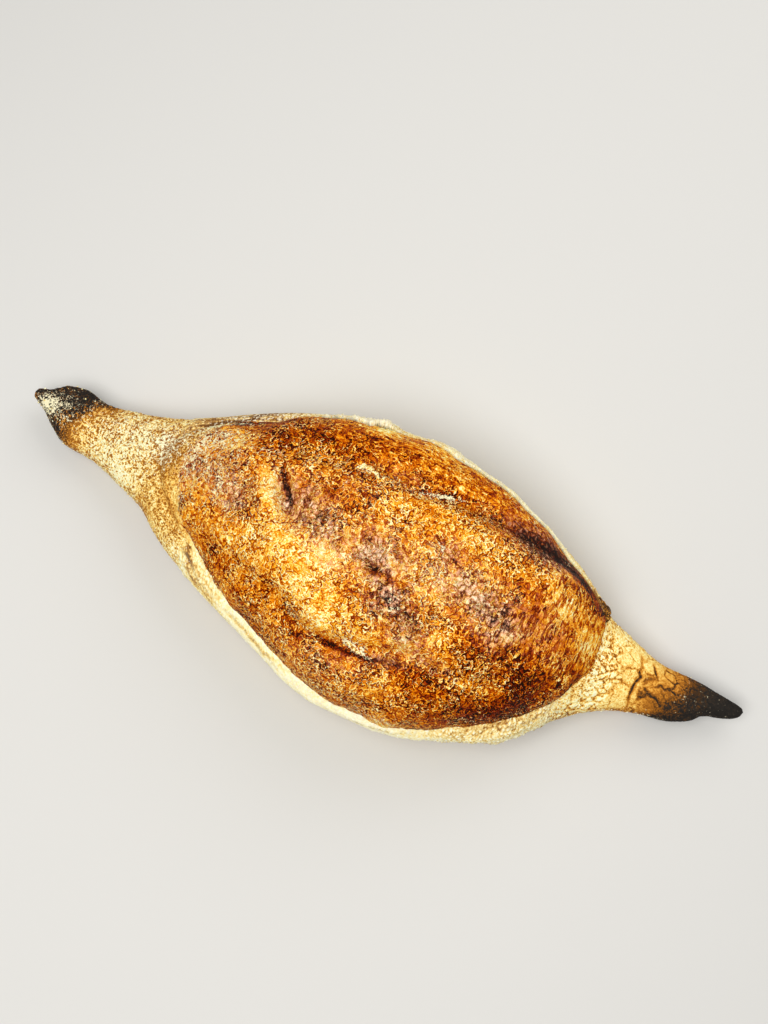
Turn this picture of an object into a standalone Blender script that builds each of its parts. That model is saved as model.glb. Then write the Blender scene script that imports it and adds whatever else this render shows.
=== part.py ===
"""A pointed bread roll, baked on a hearth stone: one solid.

A floured dough skin lies flat on its base like a boat and is drawn out to a point at each end.
The crust has burst out of one long slash and stands in the boat as a lumpy dome.

+X runs from the speckled left tip to the scorched right tip, +Y to the back edge, +Z up.
The origin is the middle of the box's underside. Lengths are in metres.
"""

import math

import bmesh
import bpy

MM = 0.001

# Driving dimensions.
LENGTH = 240 * MM
WIDTH = 86 * MM
HEIGHT = 54 * MM

# Outlines: (share of the length, share of half the width), seen from above.
SKIN_BACK = [
    (0.000, 0.21), (0.003, 0.235), (0.017, 0.27), (0.042, 0.36), (0.062, 0.38), (0.096, 0.34),
    (0.130, 0.365), (0.188, 0.435), (0.238, 0.545), (0.288, 0.685), (0.346, 0.83),
    (0.413, 0.95), (0.480, 1.00), (0.545, 0.98), (0.608, 0.915), (0.683, 0.77),
    (0.754, 0.59), (0.786, 0.475), (0.800, 0.42), (0.830, 0.36), (0.896, 0.27), (0.925, 0.275),
    (0.958, 0.255), (0.985, 0.235), (0.997, 0.222), (1.000, 0.20),
]
SKIN_FRONT = [
    (0.000, 0.21), (0.003, 0.175), (0.017, 0.13), (0.042, 0.02), (0.067, -0.06), (0.104, -0.075),
    (0.158, -0.17), (0.196, -0.25), (0.229, -0.38), (0.267, -0.50), (0.317, -0.625),
    (0.367, -0.73), (0.417, -0.83), (0.467, -0.925), (0.513, -0.985), (0.570, -1.00),
    (0.615, -0.965), (0.658, -0.875), (0.700, -0.78), (0.728, -0.715), (0.760, -0.545),
    (0.792, -0.37), (0.829, -0.223), (0.875, -0.123), (0.912, -0.085), (0.942, -0.01),
    (0.954, 0.055), (0.983, 0.112), (0.997, 0.16), (1.000, 0.20),
]
DOME_BACK = [
    (0.210, 0.65), (0.271, 0.71), (0.313, 0.755), (0.354, 0.83), (0.417, 0.923),
    (0.479, 0.96), (0.533, 0.97), (0.588, 0.91), (0.633, 0.838), (0.679, 0.742),
    (0.729, 0.614), (0.771, 0.495), (0.798, 0.28),
]
DOME_FRONT = [
    (0.210, -0.37), (0.271, -0.48), (0.313, -0.567), (0.354, -0.66), (0.417, -0.765),
    (0.479, -0.88), (0.533, -0.958), (0.588, -0.933), (0.633, -0.865), (0.679, -0.73),
    (0.729, -0.568), (0.771, -0.337), (0.798, -0.093),
]

# Side view: (share of the length, share of the height).
UNDERSIDE = [
    (0.000, 0.155), (0.003, 0.135), (0.017, 0.10), (0.042, 0.055), (0.092, 0.02), (0.140, 0.00),
    (0.830, 0.00), (0.875, 0.012), (0.917, 0.04), (0.954, 0.075), (0.997, 0.125), (1.000, 0.14),
]
GIRTH = [
    (0.000, 0.165), (0.060, 0.15), (0.130, 0.17), (0.183, 0.21), (0.233, 0.26),
    (0.300, 0.32), (0.383, 0.355), (0.480, 0.37), (0.575, 0.37), (0.658, 0.355),
    (0.725, 0.315), (0.775, 0.25), (0.825, 0.19), (0.917, 0.14), (1.000, 0.148),
]
SKIN_TOP = [
    (0.000, 0.175), (0.003, 0.20), (0.017, 0.225), (0.042, 0.26), (0.092, 0.275), (0.133, 0.32),
    (0.183, 0.40), (0.233, 0.475), (0.300, 0.515), (0.480, 0.53), (0.658, 0.52),
    (0.725, 0.50), (0.775, 0.44), (0.825, 0.345), (0.875, 0.285), (0.917, 0.25),
    (0.954, 0.215), (0.997, 0.18), (1.000, 0.16),
]
CREST = [
    (0.210, 0.65), (0.238, 0.68), (0.271, 0.76), (0.333, 0.86), (0.396, 0.935),
    (0.458, 0.98), (0.521, 1.00), (0.625, 0.963), (0.688, 0.918), (0.729, 0.867),
    (0.750, 0.815), (0.771, 0.74), (0.798, 0.60),
]

# How square a section is: 2 is an ellipse, and more is boxier.
SKIN_SQUARENESS = [(0.0, 2.0), (0.2, 2.2), (0.35, 3.0), (0.70, 3.0), (0.83, 2.2), (1.0, 2.0)]
BELLY_SQUARENESS = 2.6
BELLY_PRESS = 1.09  # the underside before it was flattened, as a share of the girth's height
DOME_SQUARENESS = 2.35
LEFT_NOSE, RIGHT_NOSE = 2.5, 7.0  # how blunt the dome's ends are, seen from above
LEFT_BROW, RIGHT_BROW = 2.5, 3.0  # the same, seen from the side
DOME_FOOT = 0.14  # how far the dome reaches down inside the skin, as a share of the height

# Lumps and hollows of the dome, in mm on it: place, half length, half width, turn in degrees, height.
LUMPS = {
    "crest beside the notch": (84.0, 5.0, 10.0, 4.0, -52, 2.4),
    "hollow beyond the notch": (100.0, 6.0, 9.0, 6.0, -20, -1.9),
    "left mound": (69.0, 13.0, 10.0, 7.0, 20, 1.4),
    "golden shoulder": (99.0, -9.0, 15.0, 8.0, -12, 1.5),
    "round blister": (111.5, -20.5, 6.0, 5.5, 0, 1.8),
    "dip before the scorch": (119.0, -2.5, 7.0, 5.0, -20, -1.4),
    "scorched blister": (131.5, -9.5, 9.5, 8.5, 0, 2.2),
    "crown": (146.0, 5.0, 18.0, 9.0, -8, 0.6),
    "back swell": (147.0, 16.5, 14.0, 6.0, -5, 1.1),
    "right swell": (172.0, 9.0, 11.0, 8.0, -25, 1.2),
    "belly under the front fold": (131.0, -33.0, 26.0, 6.0, 4, 1.6),
    "right belly": (163.0, -25.0, 12.0, 5.0, 38, 1.2),
    "shoulder above the back fold": (112.0, 31.5, 30.0, 6.0, 4, 1.5),
}
# Folds in the dome: depth, half width, and the line that each follows, in mm.
FOLDS = {
    "front fold": (2.6, 3.2, [(67, -13), (83, -17), (97, -20), (109, -26), (117, -27.5),
                              (126, -26), (134, -24), (140, -22), (152, -21), (166, -20)]),
    "back fold": (2.2, 3.0, [(78, 18), (92, 21), (106, 24.5), (118, 24.5), (127, 24), (134, 26),
                             (141, 26.5), (152, 26), (162, 25.5), (171, 25), (180, 21.5), (188, 18)]),
    "notch": (4.0, 2.7, [(87, 13), (90, 7.5), (94, 2.5), (97, 0)]),
    "scorch line": (1.3, 1.8, [(116, -0.5), (122, -3), (129, -3.5)]),
}
# Slow waves that keep the surface uneven: waves along the length, waves round the section, phase, mm.
SKIN_WAVES = [(5.3, 3, 0.4, 0.28), (9.1, 2, 2.1, 0.22), (13.7, 5, 4.4, 0.16)]
DOME_WAVES = [(7.7, 3, 1.3, 0.40), (12.3, 5, 3.7, 0.30), (17.9, 4, 5.2, 0.22)]

# Rings of points: (from, to, step) along the length, in mm.
SKIN_RINGS = [(0.7, 3.1, 1.2), (3.1, 24, 2.4), (24, 60, 3.6), (60, 180, 4.6), (180, 222, 3.5),
              (222, 237.6, 2.4), (237.6, 239.3, 0.85)]
SKIN_TOP_POINTS = 30
SKIN_SIDE_POINTS = 6
DOME_RINGS = 66
DOME_EVENNESS = 0.6  # 1 spaces the dome's rings evenly, and 0 crowds them at its two ends
DOME_TOP_POINTS = 48
DOME_FOOT_POINTS = 6

CRUST_COLOUR = (0.36, 0.145, 0.035, 1.0)
CRUST_ROUGHNESS = 0.5


def clear_scene():
    for obj in list(bpy.data.objects):
        bpy.data.objects.remove(obj)


def through(points, at):
    """The smooth curve through the points, with its highs and lows at points, read at one place."""
    if at <= points[0][0]:
        return points[0][1]
    if at >= points[-1][0]:
        return points[-1][1]
    k = next(i for i in range(len(points) - 1) if at <= points[i + 1][0])
    step = points[k + 1][0] - points[k][0]
    t = (at - points[k][0]) / step
    low, high = points[k][1], points[k + 1][1]
    leave, arrive = slope_at(points, k) * step, slope_at(points, k + 1) * step
    return (
        (2 * t**3 - 3 * t**2 + 1) * low + (t**3 - 2 * t**2 + t) * leave
        + (3 * t**2 - 2 * t**3) * high + (t**3 - t**2) * arrive
    )


def slope_at(points, k):
    """The curve's slope at a point: level at a high, a low or an end, else between its neighbours'."""
    if k in (0, len(points) - 1):
        return 0.0
    (x0, y0), (x1, y1), (x2, y2) = points[k - 1 : k + 2]
    before, after = (y1 - y0) / (x1 - x0), (y2 - y1) / (x2 - x1)
    if before * after <= 0:
        return 0.0
    w1, w2 = 2 * (x2 - x1) + (x1 - x0), (x2 - x1) + 2 * (x1 - x0)
    return (w1 + w2) / (w1 / before + w2 / after)


def oval(angle, half, up, down, power_up, power_down):
    """Distance from a section's centre to its edge: squared ovals above and below, joined level."""
    c, s = math.cos(angle), math.sin(angle)
    rise, power = (up, power_up) if s >= 0 else (down, power_down)
    return (abs(c / half) ** power + abs(s / rise) ** power) ** (-1 / power)


def waves(table, share, angle):
    """The slow unevenness at one place, in metres."""
    turn = 2 * math.pi * share
    return MM * sum(size * math.sin(along * turn + round_ * angle + phase)
                    for along, round_, phase, size in table)


def skin_ring(share):
    """A section of the floured skin. The hearth presses it flat between two corners."""
    back = through(SKIN_BACK, share) * WIDTH / 2
    front = through(SKIN_FRONT, share) * WIDTH / 2
    under = through(UNDERSIDE, share) * HEIGHT
    girth = through(GIRTH, share) * HEIGHT
    top = through(SKIN_TOP, share) * HEIGHT
    middle, half = (back + front) / 2, (back - front) / 2
    reach = half * (1 - BELLY_PRESS**-BELLY_SQUARENESS) ** (1 / BELLY_SQUARENESS)
    corner = math.atan2(girth - under, reach)
    sides = [corner * k / SKIN_SIDE_POINTS for k in range(SKIN_SIDE_POINTS + 1)]
    angles = over_the_top(SKIN_TOP_POINTS, 0.45)
    angles += [math.pi + side for side in sides] + [-side for side in sides[:0:-1]]
    ring = []
    for angle in angles:
        radius = oval(angle, half, top - girth, (girth - under) * BELLY_PRESS,
                      through(SKIN_SQUARENESS, share), BELLY_SQUARENESS)
        radius += waves(SKIN_WAVES, share, angle) * max(math.sin(angle), 0.0) ** 2
        across, height = middle + radius * math.cos(angle), girth + radius * math.sin(angle)
        ring.append(((share - 0.5) * LENGTH, across, max(height, under)))
    return ring


def end_rounding(share, left, right):
    """1 over most of the dome, falling to 0 at its two ends. A larger power is a blunter end."""
    first, last = CREST[0][0], CREST[-1][0]
    off = (2 * share - first - last) / (last - first)
    power = left if off < 0 else right
    return max(1 - abs(off) ** power, 0.0) ** (1 / power)


def distance_to_line(x, y, line):
    """How far a place is from a line of points, and how far along the line, from 0 to 1."""
    best, at = 1e9, 0.0
    for k, ((x0, y0), (x1, y1)) in enumerate(zip(line, line[1:])):
        dx, dy = x1 - x0, y1 - y0
        t = min(max(((x - x0) * dx + (y - y0) * dy) / (dx * dx + dy * dy), 0.0), 1.0)
        away = math.hypot(x - x0 - t * dx, y - y0 - t * dy)
        if away < best:
            best, at = away, (k + t) / (len(line) - 1)
    return best, at


def relief(x, y):
    """Height of the dome's lumps and folds at a place in mm: x from the left tip, y from the middle."""
    height = 0.0
    for cx, cy, long, wide, turn, rise in LUMPS.values():
        c, s = math.cos(math.radians(turn)), math.sin(math.radians(turn))
        u = ((x - cx) * c + (y - cy) * s) / long
        v = ((y - cy) * c - (x - cx) * s) / wide
        height += rise * math.exp(-(u * u + v * v))
    for depth, wide, line in FOLDS.values():
        away, at = distance_to_line(x, y, line)
        height -= depth * math.exp(-((away / wide) ** 2)) * math.sin(math.pi * (0.12 + 0.76 * at))
    return height * MM


def dome_ring(share):
    """A section of the burst crust, a dome whose foot is hidden in the skin."""
    back = through(DOME_BACK, share) * WIDTH / 2
    front = through(DOME_FRONT, share) * WIDTH / 2
    girth = through(GIRTH, 0.5) * HEIGHT
    middle = (back + front) / 2
    half = (back - front) / 2 * end_rounding(share, LEFT_NOSE, RIGHT_NOSE)
    brow = end_rounding(share, LEFT_BROW, RIGHT_BROW)
    rise = (through(CREST, share) * HEIGHT - girth) * brow
    foot = DOME_FOOT * HEIGHT * brow
    angles = over_the_top(DOME_TOP_POINTS, 0.2)
    angles += [math.pi * (1 + k / DOME_FOOT_POINTS) for k in range(DOME_FOOT_POINTS)]
    ring = []
    for angle in angles:
        radius = oval(angle, half, rise, foot, DOME_SQUARENESS, 2.0)
        if math.sin(angle) > 0:
            x, y = share * LENGTH / MM, (middle + radius * math.cos(angle)) / MM
            raised = relief(x, y) + waves(DOME_WAVES, share, angle)
            radius += raised * min(1.0, 2.5 * math.sin(angle)) * brow
        across, height = middle + radius * math.cos(angle), girth + radius * math.sin(angle)
        ring.append(((share - 0.5) * LENGTH, across, height))
    return ring


def over_the_top(count, crowding):
    """Angles from one side over the top to the other, closer together near the two sides."""
    turns = [math.pi * k / count for k in range(count)]
    return [turn - crowding * math.sin(2 * turn) / 2 for turn in turns]


def raised_to(height, rings):
    """The dome's rings, stretched upward from their girth so that the highest point is at a height."""
    girth = through(GIRTH, 0.5) * HEIGHT
    highest = max(z for ring in rings for x, y, z in ring)
    stretch = (height - girth) / (highest - girth)
    return [[(x, y, girth + (z - girth) * (stretch if z > girth else 1.0)) for x, y, z in ring]
            for ring in rings]


def loft(name, rings, first_tip, last_tip):
    """A closed solid through rings of points, drawn together to one point at each end."""
    bm = bmesh.new()
    rings = [[bm.verts.new(point) for point in ring] for ring in rings]
    for near, far in zip(rings, rings[1:]):
        for k in range(len(near)):
            j = (k + 1) % len(near)
            bm.faces.new((near[k], near[j], far[j], far[k]))
    for tip, ring in ((first_tip, rings[0]), (last_tip, rings[-1])):
        point = bm.verts.new(tip)
        for k in range(len(ring)):
            bm.faces.new((point, ring[k], ring[(k + 1) % len(ring)]))
    bmesh.ops.recalc_face_normals(bm, faces=bm.faces)
    flat = [face for face in bm.faces if all(vert.co.z < 1e-7 for vert in face.verts)]
    if flat:
        bmesh.ops.dissolve_faces(bm, faces=flat, use_verts=False)
    mesh = bpy.data.meshes.new(name)
    bm.to_mesh(mesh)
    bm.free()
    mesh.shade_smooth()
    obj = bpy.data.objects.new(name, mesh)
    bpy.context.scene.collection.objects.link(obj)
    return obj


def skin_shares():
    """Places of the skin's rings along the length, with one at each of the two widest places."""
    found = {round(start + k * step, 3) * MM / LENGTH
             for start, end, step in SKIN_RINGS
             for k in range(max(1, round((end - start) / step)))}
    widest = {max(SKIN_BACK, key=lambda p: p[1])[0], min(SKIN_FRONT, key=lambda p: p[1])[0]}
    found = {share for share in found if all(abs(share - w) > 0.006 for w in widest)}
    return sorted(found | widest | {SKIN_RINGS[-1][1] * MM / LENGTH})


def dome_shares():
    """Places of the dome's rings along the length."""
    first, last = CREST[0][0], CREST[-1][0]
    shares = []
    for k in range(1, DOME_RINGS):
        even, crowded = k / DOME_RINGS, (1 - math.cos(math.pi * k / DOME_RINGS)) / 2
        part = DOME_EVENNESS * even + (1 - DOME_EVENNESS) * crowded
        shares.append(first + (last - first) * part)
    return shares


def make_skin():
    def tip(share):
        across = through(SKIN_BACK, share) * WIDTH / 2
        return (share - 0.5) * LENGTH, across, through(GIRTH, share) * HEIGHT

    rings = [skin_ring(share) for share in skin_shares()]
    return loft("bread_roll", rings, tip(0.0), tip(1.0))


def make_dome():
    def tip(share):
        across = (through(DOME_BACK, share) + through(DOME_FRONT, share)) / 2 * WIDTH / 2
        return (share - 0.5) * LENGTH, across, through(GIRTH, 0.5) * HEIGHT

    rings = raised_to(HEIGHT, [dome_ring(share) for share in dome_shares()])
    dome = loft("burst_crust", rings, tip(CREST[0][0]), tip(CREST[-1][0]))
    dome.hide_render = True
    dome.display_type = "WIRE"
    return dome


def crust_material():
    material = bpy.data.materials.new("baked crust")
    material.use_nodes = True
    shader = material.node_tree.nodes["Principled BSDF"]
    shader.inputs["Base Color"].default_value = CRUST_COLOUR
    shader.inputs["Roughness"].default_value = CRUST_ROUGHNESS
    shader.inputs["Metallic"].default_value = 0.0
    return material


def main():
    clear_scene()
    roll = make_skin()
    join = roll.modifiers.new("burst out of the slash", "BOOLEAN")
    join.operation = "UNION"
    join.solver = "EXACT"
    join.object = make_dome()
    roll.data.materials.append(crust_material())


main()
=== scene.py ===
import math

import bpy
import numpy as np
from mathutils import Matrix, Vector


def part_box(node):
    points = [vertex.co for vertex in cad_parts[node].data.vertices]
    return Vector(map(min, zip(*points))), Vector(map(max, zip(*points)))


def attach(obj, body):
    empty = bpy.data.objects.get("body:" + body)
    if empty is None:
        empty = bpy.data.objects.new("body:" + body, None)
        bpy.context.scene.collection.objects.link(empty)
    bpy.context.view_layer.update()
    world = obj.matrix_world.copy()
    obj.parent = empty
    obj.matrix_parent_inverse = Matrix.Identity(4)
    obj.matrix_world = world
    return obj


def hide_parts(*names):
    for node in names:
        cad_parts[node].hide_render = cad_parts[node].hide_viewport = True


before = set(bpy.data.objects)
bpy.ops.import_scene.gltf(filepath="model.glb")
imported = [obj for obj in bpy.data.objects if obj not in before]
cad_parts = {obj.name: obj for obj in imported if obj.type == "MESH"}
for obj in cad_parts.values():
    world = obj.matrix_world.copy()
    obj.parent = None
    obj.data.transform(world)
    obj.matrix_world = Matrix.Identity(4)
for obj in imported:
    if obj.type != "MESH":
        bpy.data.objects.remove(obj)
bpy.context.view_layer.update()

mm = 0.001
print("frame loaded")

# The roll's measures, in mm. Places on it are (x, y): x from the left tip, y from the middle to the back.
low, high = (np.array(corner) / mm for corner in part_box("bread_roll"))
rollLength, rollWidth, rollHeight = high - low
clearance = 0.02  # how far the pieces stay inside the roll's box


# A curve through points: between two of them a cubic, whose slope at each is the weighted harmonic mean of
# the slopes on its two sides, and level at a high, a low or an end.
def curve(points, at):
    x, y = np.array(points, float).T
    step = np.diff(x)
    rise = np.diff(y) / step
    before, after = rise[:-1], rise[1:]
    w1, w2 = 2 * step[1:] + step[:-1], step[1:] + 2 * step[:-1]
    turning = before * after <= 0
    divisor = np.where(turning, 1.0, w1 * after + w2 * before)
    slope = np.zeros(len(x))
    slope[1:-1] = np.where(turning, 0.0, (w1 + w2) * before * after / divisor)
    k = np.clip(np.searchsorted(x, at) - 1, 0, len(x) - 2)
    t = np.clip((at - x[k]) / step[k], 0, 1)
    return (
        (2 * t**3 - 3 * t**2 + 1) * y[k] + (t**3 - 2 * t**2 + t) * slope[k] * step[k]
        + (3 * t**2 - 2 * t**3) * y[k + 1] + (t**3 - t**2) * slope[k + 1] * step[k]
    )


# 0 below the first value, 1 above the second, and 3t^2 - 2t^3 between.
def ease(value, start, end):
    t = np.clip((value - start) / (end - start), 0, 1)
    return t * t * (3 - 2 * t)


# 0 outside the outer two places, 1 between the inner two, and a smooth rise and fall from one to the other.
def between(value, start, full, fading, end):
    return ease(value, start, full) * (1 - ease(value, fading, end))


# A sum of soft spots: each is its height times e to the minus (u^2 + v^2), where u and v are the distances
# from its middle along and across it, as shares of its half length and half width. A spot's last number is
# its turn in degrees, where it has one.
def spots(x, y, table):
    total = np.zeros(np.broadcast(x, y).shape)
    for cx, cy, long, wide, height, *turn in table:
        turned = math.radians(sum(turn))
        c, s = math.cos(turned), math.sin(turned)
        u = ((x - cx) * c + (y - cy) * s) / long
        v = ((y - cy) * c - (x - cx) * s) / wide
        total += height * np.exp(-(u * u + v * v))
    return total


# The distance of each place from a line of points, and how far along the line it is nearest, from 0 to 1.
def fromLine(x, y, line):
    best = np.full(np.broadcast(x, y).shape, 1e9)
    at = np.zeros_like(best)
    for k, ((x0, y0), (x1, y1)) in enumerate(zip(line, line[1:])):
        dx, dy = x1 - x0, y1 - y0
        t = np.clip(((x - x0) * dx + (y - y0) * dy) / (dx * dx + dy * dy), 0, 1)
        away = np.hypot(x - x0 - t * dx, y - y0 - t * dy)
        at = np.where(away < best, (k + t) / (len(line) - 1), at)
        best = np.minimum(best, away)
    return best, at


# A sum of soft lines: each is its height times e to the minus (distance / half width)^2, fading to its ends.
def strokes(x, y, table):
    total = np.zeros(np.broadcast(x, y).shape)
    for height, wide, line in table:
        away, at = fromLine(x, y, line)
        total += height * np.exp(-((away / wide) ** 2)) * np.sin(np.pi * (0.12 + 0.76 * at))
    return total


# A number from 0 to 1 for each whole-number place, always the same: the place's bits mixed with the seed's.
def hashed(x, y, z, seed):
    n = (x * 73856093) ^ (y * 19349663) ^ (z * 83492791) ^ (seed * 668265263)
    n = ((n ^ (n >> 13)) & 0x7FFFFFF) * 1274126177
    n = ((n ^ (n >> 17)) & 0x7FFFFFF) * 1103515245
    return ((n >> 9) & 0xFFFFF) / 0xFFFFF


# Soft random hills, from -1 to 1: the numbers at the eight corners of a cube, blended by 3t^2 - 2t^3.
def hills(points, size, seed):
    q = points / size
    home = np.floor(q).astype(np.int64)
    f = q - home
    f = f * f * (3 - 2 * f)
    total = np.zeros(q.shape[:-1])
    for corner in range(8):
        step = np.array([corner & 1, corner >> 1 & 1, corner >> 2])
        weight = np.prod(np.where(step == 1, f, 1 - f), axis=-1)
        place = home + step
        total += weight * hashed(place[..., 0], place[..., 1], place[..., 2], seed)
    return total * 2 - 1


# Hills of several sizes: each half as large as the last, and lower by the share given.
def roughHills(points, size, seed, layers=3, share=0.5):
    total, height, most = 0.0, 1.0, 0.0
    for layer in range(layers):
        total = total + height * hills(points, size * 0.5**layer, seed + layer)
        most += height
        height *= share
    return total / most


# A soft random shift of each place, from -1 to 1 in each of the three directions.
def drift(points, size, seed):
    return np.stack([hills(points, size, seed + k) for k in range(3)], -1)


# Blisters: space is split into cubes with one seed point each. Gives the distances to the nearest and the
# next nearest seed, in cubes, and a number from 0 to 1 that is the nearest one's own.
def blisters(points, size, seed):
    q = points / size
    home = np.floor(q).astype(np.int64)
    nearest = np.full(q.shape[:-1], 9.0)
    second = nearest.copy()
    own = np.zeros_like(nearest)
    for k in range(27):
        place = home + np.array([k % 3 - 1, k // 3 % 3 - 1, k // 9 - 1])
        x, y, z = place[..., 0], place[..., 1], place[..., 2]
        away = np.sqrt(
            (x + hashed(x, y, z, seed) - q[..., 0]) ** 2
            + (y + hashed(x, y, z, seed + 1) - q[..., 1]) ** 2
            + (z + hashed(x, y, z, seed + 2) - q[..., 2]) ** 2
        )
        closer = away < nearest
        second = np.where(closer, nearest, np.minimum(second, away))
        own = np.where(closer, hashed(x, y, z, seed + 3), own)
        nearest = np.minimum(nearest, away)
    return nearest, second, own


# Which way each place of a grid faces: across one grid direction and the other, at right angles to both.
def facing(grid, wraps=True):
    along = np.gradient(grid, axis=0)
    around = (np.roll(grid, -1, 1) - np.roll(grid, 1, 1)) if wraps else np.gradient(grid, axis=1)
    normal = np.cross(around, along)
    return normal / np.maximum(np.linalg.norm(normal, axis=-1, keepdims=True), 1e-9)


# A mesh from points in mm and blocks of faces, with one number a point for each named layer.
def makePiece(name, points, blocks, layers, material):
    corners = np.concatenate([block.ravel() for block in blocks])
    sizes = np.concatenate([np.full(len(block), block.shape[1]) for block in blocks])
    mesh = bpy.data.meshes.new(name)
    mesh.vertices.add(len(points))
    mesh.vertices.foreach_set("co", (points * mm).astype(np.float32).ravel())
    mesh.loops.add(len(corners))
    mesh.polygons.add(len(sizes))
    mesh.polygons.foreach_set("loop_start", np.concatenate([[0], np.cumsum(sizes)[:-1]]).astype(np.int32))
    mesh.polygons.foreach_set("vertices", corners.astype(np.int32))
    mesh.update(calc_edges=True)
    for layer, values in layers.items():
        mesh.attributes.new(layer, "FLOAT", "POINT").data.foreach_set("value", values.astype(np.float32))
    mesh.shade_smooth()
    mesh.materials.append(material)
    piece = bpy.data.objects.new(name, mesh)
    bpy.context.scene.collection.objects.link(piece)
    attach(piece, "root")
    print(name, "made:", len(points), "points,", int((sizes - 2).sum()), "triangles")
    return piece


# Faces of a grid of closed rings, and the fans that draw its two ends to a point each.
def ringFaces(count, around):
    ids = np.arange(count * around).reshape(count, around)
    beside = np.roll(ids, -1, 1)
    quads = np.stack([ids[:-1], ids[1:], beside[1:], beside[:-1]], -1).reshape(-1, 4)
    first, last = count * around, count * around + 1
    startFan = np.stack([np.full(around, first), ids[0], beside[0]], -1)
    endFan = np.stack([np.full(around, last), beside[-1], ids[-1]], -1)
    return [quads, np.concatenate([startFan, endFan])]


# A closed piece from rings of points. Each end is drawn to a tip, whose layers are its end ring's first
# ones, and nothing reaches past the roll's width.
def makeRings(name, rings, tips, values, material):
    points = np.concatenate([rings.reshape(-1, 3), tips])
    points[:, 1] = np.clip(points[:, 1], clearance - rollWidth / 2, rollWidth / 2 - clearance)
    points[:, 0] -= rollLength / 2
    layers = {
        key: np.concatenate([value.ravel(), value[0, :1], value[-1, :1]]) for key, value in values.items()
    }
    return makePiece(name, points, ringFaces(*rings.shape[:2]), layers, material)


# A screen colour, 0 to 255, as the light that it stands for.
def tint(red, green, blue):
    shares = (red / 255, green / 255, blue / 255)
    return tuple(((c + 0.055) / 1.055) ** 2.4 if c > 0.04 else c / 12.92 for c in shares)


class Finish:
    # A material whose nodes are added one by one. A link is made wherever a value is another node's socket.
    def __init__(self, name):
        self.material = bpy.data.materials.new(name)
        self.material.use_nodes = True
        self.tree = self.material.node_tree
        self.shader = self.tree.nodes["Principled BSDF"]

    def put(self, socket, value):
        if isinstance(value, bpy.types.NodeSocket):
            self.tree.links.new(value, socket)
        else:
            socket.default_value = value

    def node(self, kind, inputs=None, out=0, **settings):
        made = self.tree.nodes.new(kind)
        for setting, value in settings.items():
            setattr(made, setting, value)
        for key, value in (inputs or {}).items():
            self.put(made.inputs[key], value)
        return made.outputs[out]

    def layer(self, name):
        return self.node("ShaderNodeAttribute", out="Fac", attribute_name=name)

    def place(self):
        return self.node("ShaderNodeTexCoord", out="Object")

    def math(self, operation, first, second=0.0, third=0.0, clamp=False):
        values = {0: first, 1: second, 2: third}
        return self.node("ShaderNodeMath", values, operation=operation, use_clamp=clamp)

    def add(self, base, value, times=1.0):
        return self.math("MULTIPLY_ADD", value, times, base)

    def times(self, first, second):
        return self.math("MULTIPLY", first, second)

    def less(self, first, second):
        return self.math("SUBTRACT", first, second)

    # a value from 0 to 1 as one from -0.5 to 0.5
    def centred(self, value):
        return self.less(value, 0.5)

    def vector(self, operation, first, second=(0, 0, 0), third=(0, 0, 0)):
        return self.node("ShaderNodeVectorMath", {0: first, 1: second, 2: third}, operation=operation)

    # 0 below the first value, 1 above the second, and a smooth rise between
    def ease(self, value, low, high):
        inputs = {"Value": value, "From Min": low, "From Max": high}
        return self.node("ShaderNodeMapRange", inputs, interpolation_type="SMOOTHSTEP")

    def mix(self, share, first, second):
        made = self.tree.nodes.new("ShaderNodeMix")
        self.put(made.inputs[0], share)
        self.put(made.inputs[2], first)
        self.put(made.inputs[3], second)
        return made.outputs[0]

    def blend(self, share, first, second):
        made = self.tree.nodes.new("ShaderNodeMix")
        made.data_type = "RGBA"
        self.put(made.inputs[0], share)
        self.put(made.inputs[6], first)
        self.put(made.inputs[7], second)
        return made.outputs[2]

    def ramp(self, value, stops):
        made = self.tree.nodes.new("ShaderNodeValToRGB")
        bar = made.color_ramp
        while len(bar.elements) < len(stops):
            bar.elements.new(1.0)
        for element, (at, colour) in zip(bar.elements, stops):
            element.position = at
            element.color = (*tint(*colour), 1.0)
        self.put(made.inputs[0], value)
        return made.outputs[0]

    def noise(self, where, size, detail=2.0, roughness=0.5, out="Fac"):
        inputs = {"Vector": where, "Scale": 1 / (size * mm), "Detail": detail, "Roughness": roughness}
        return self.node("ShaderNodeTexNoise", inputs, out=out)

    # a place shifted every way by soft noise, so that the pattern on it curls
    def warped(self, where, size, by):
        shift = self.vector("SUBTRACT", self.noise(where, size, 1.0, out="Color"), (0.5, 0.5, 0.5))
        return self.vector("MULTIPLY_ADD", shift, (2 * by * mm,) * 3, where)

    # how far each place is from the edge of its cell, in cells
    def edge(self, where, size):
        inputs = {"Vector": where, "Scale": 1 / (size * mm)}
        return self.node("ShaderNodeTexVoronoi", inputs, feature="DISTANCE_TO_EDGE")

    # 1 along the curled lines where a noise passes the value given, fading to 0 at the width from it
    def curl(self, level, middle, width):
        off = self.math("ABSOLUTE", self.less(level, middle))
        return self.less(1.0, self.ease(off, 0.0, width))

    def shade(self, **values):
        for name, value in values.items():
            self.put(self.shader.inputs[name.replace("_", " ")], value)

    def bump(self, height, depth, strength=1.0):
        return self.node("ShaderNodeBump", {"Height": height, "Distance": depth * mm, "Strength": strength})


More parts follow.
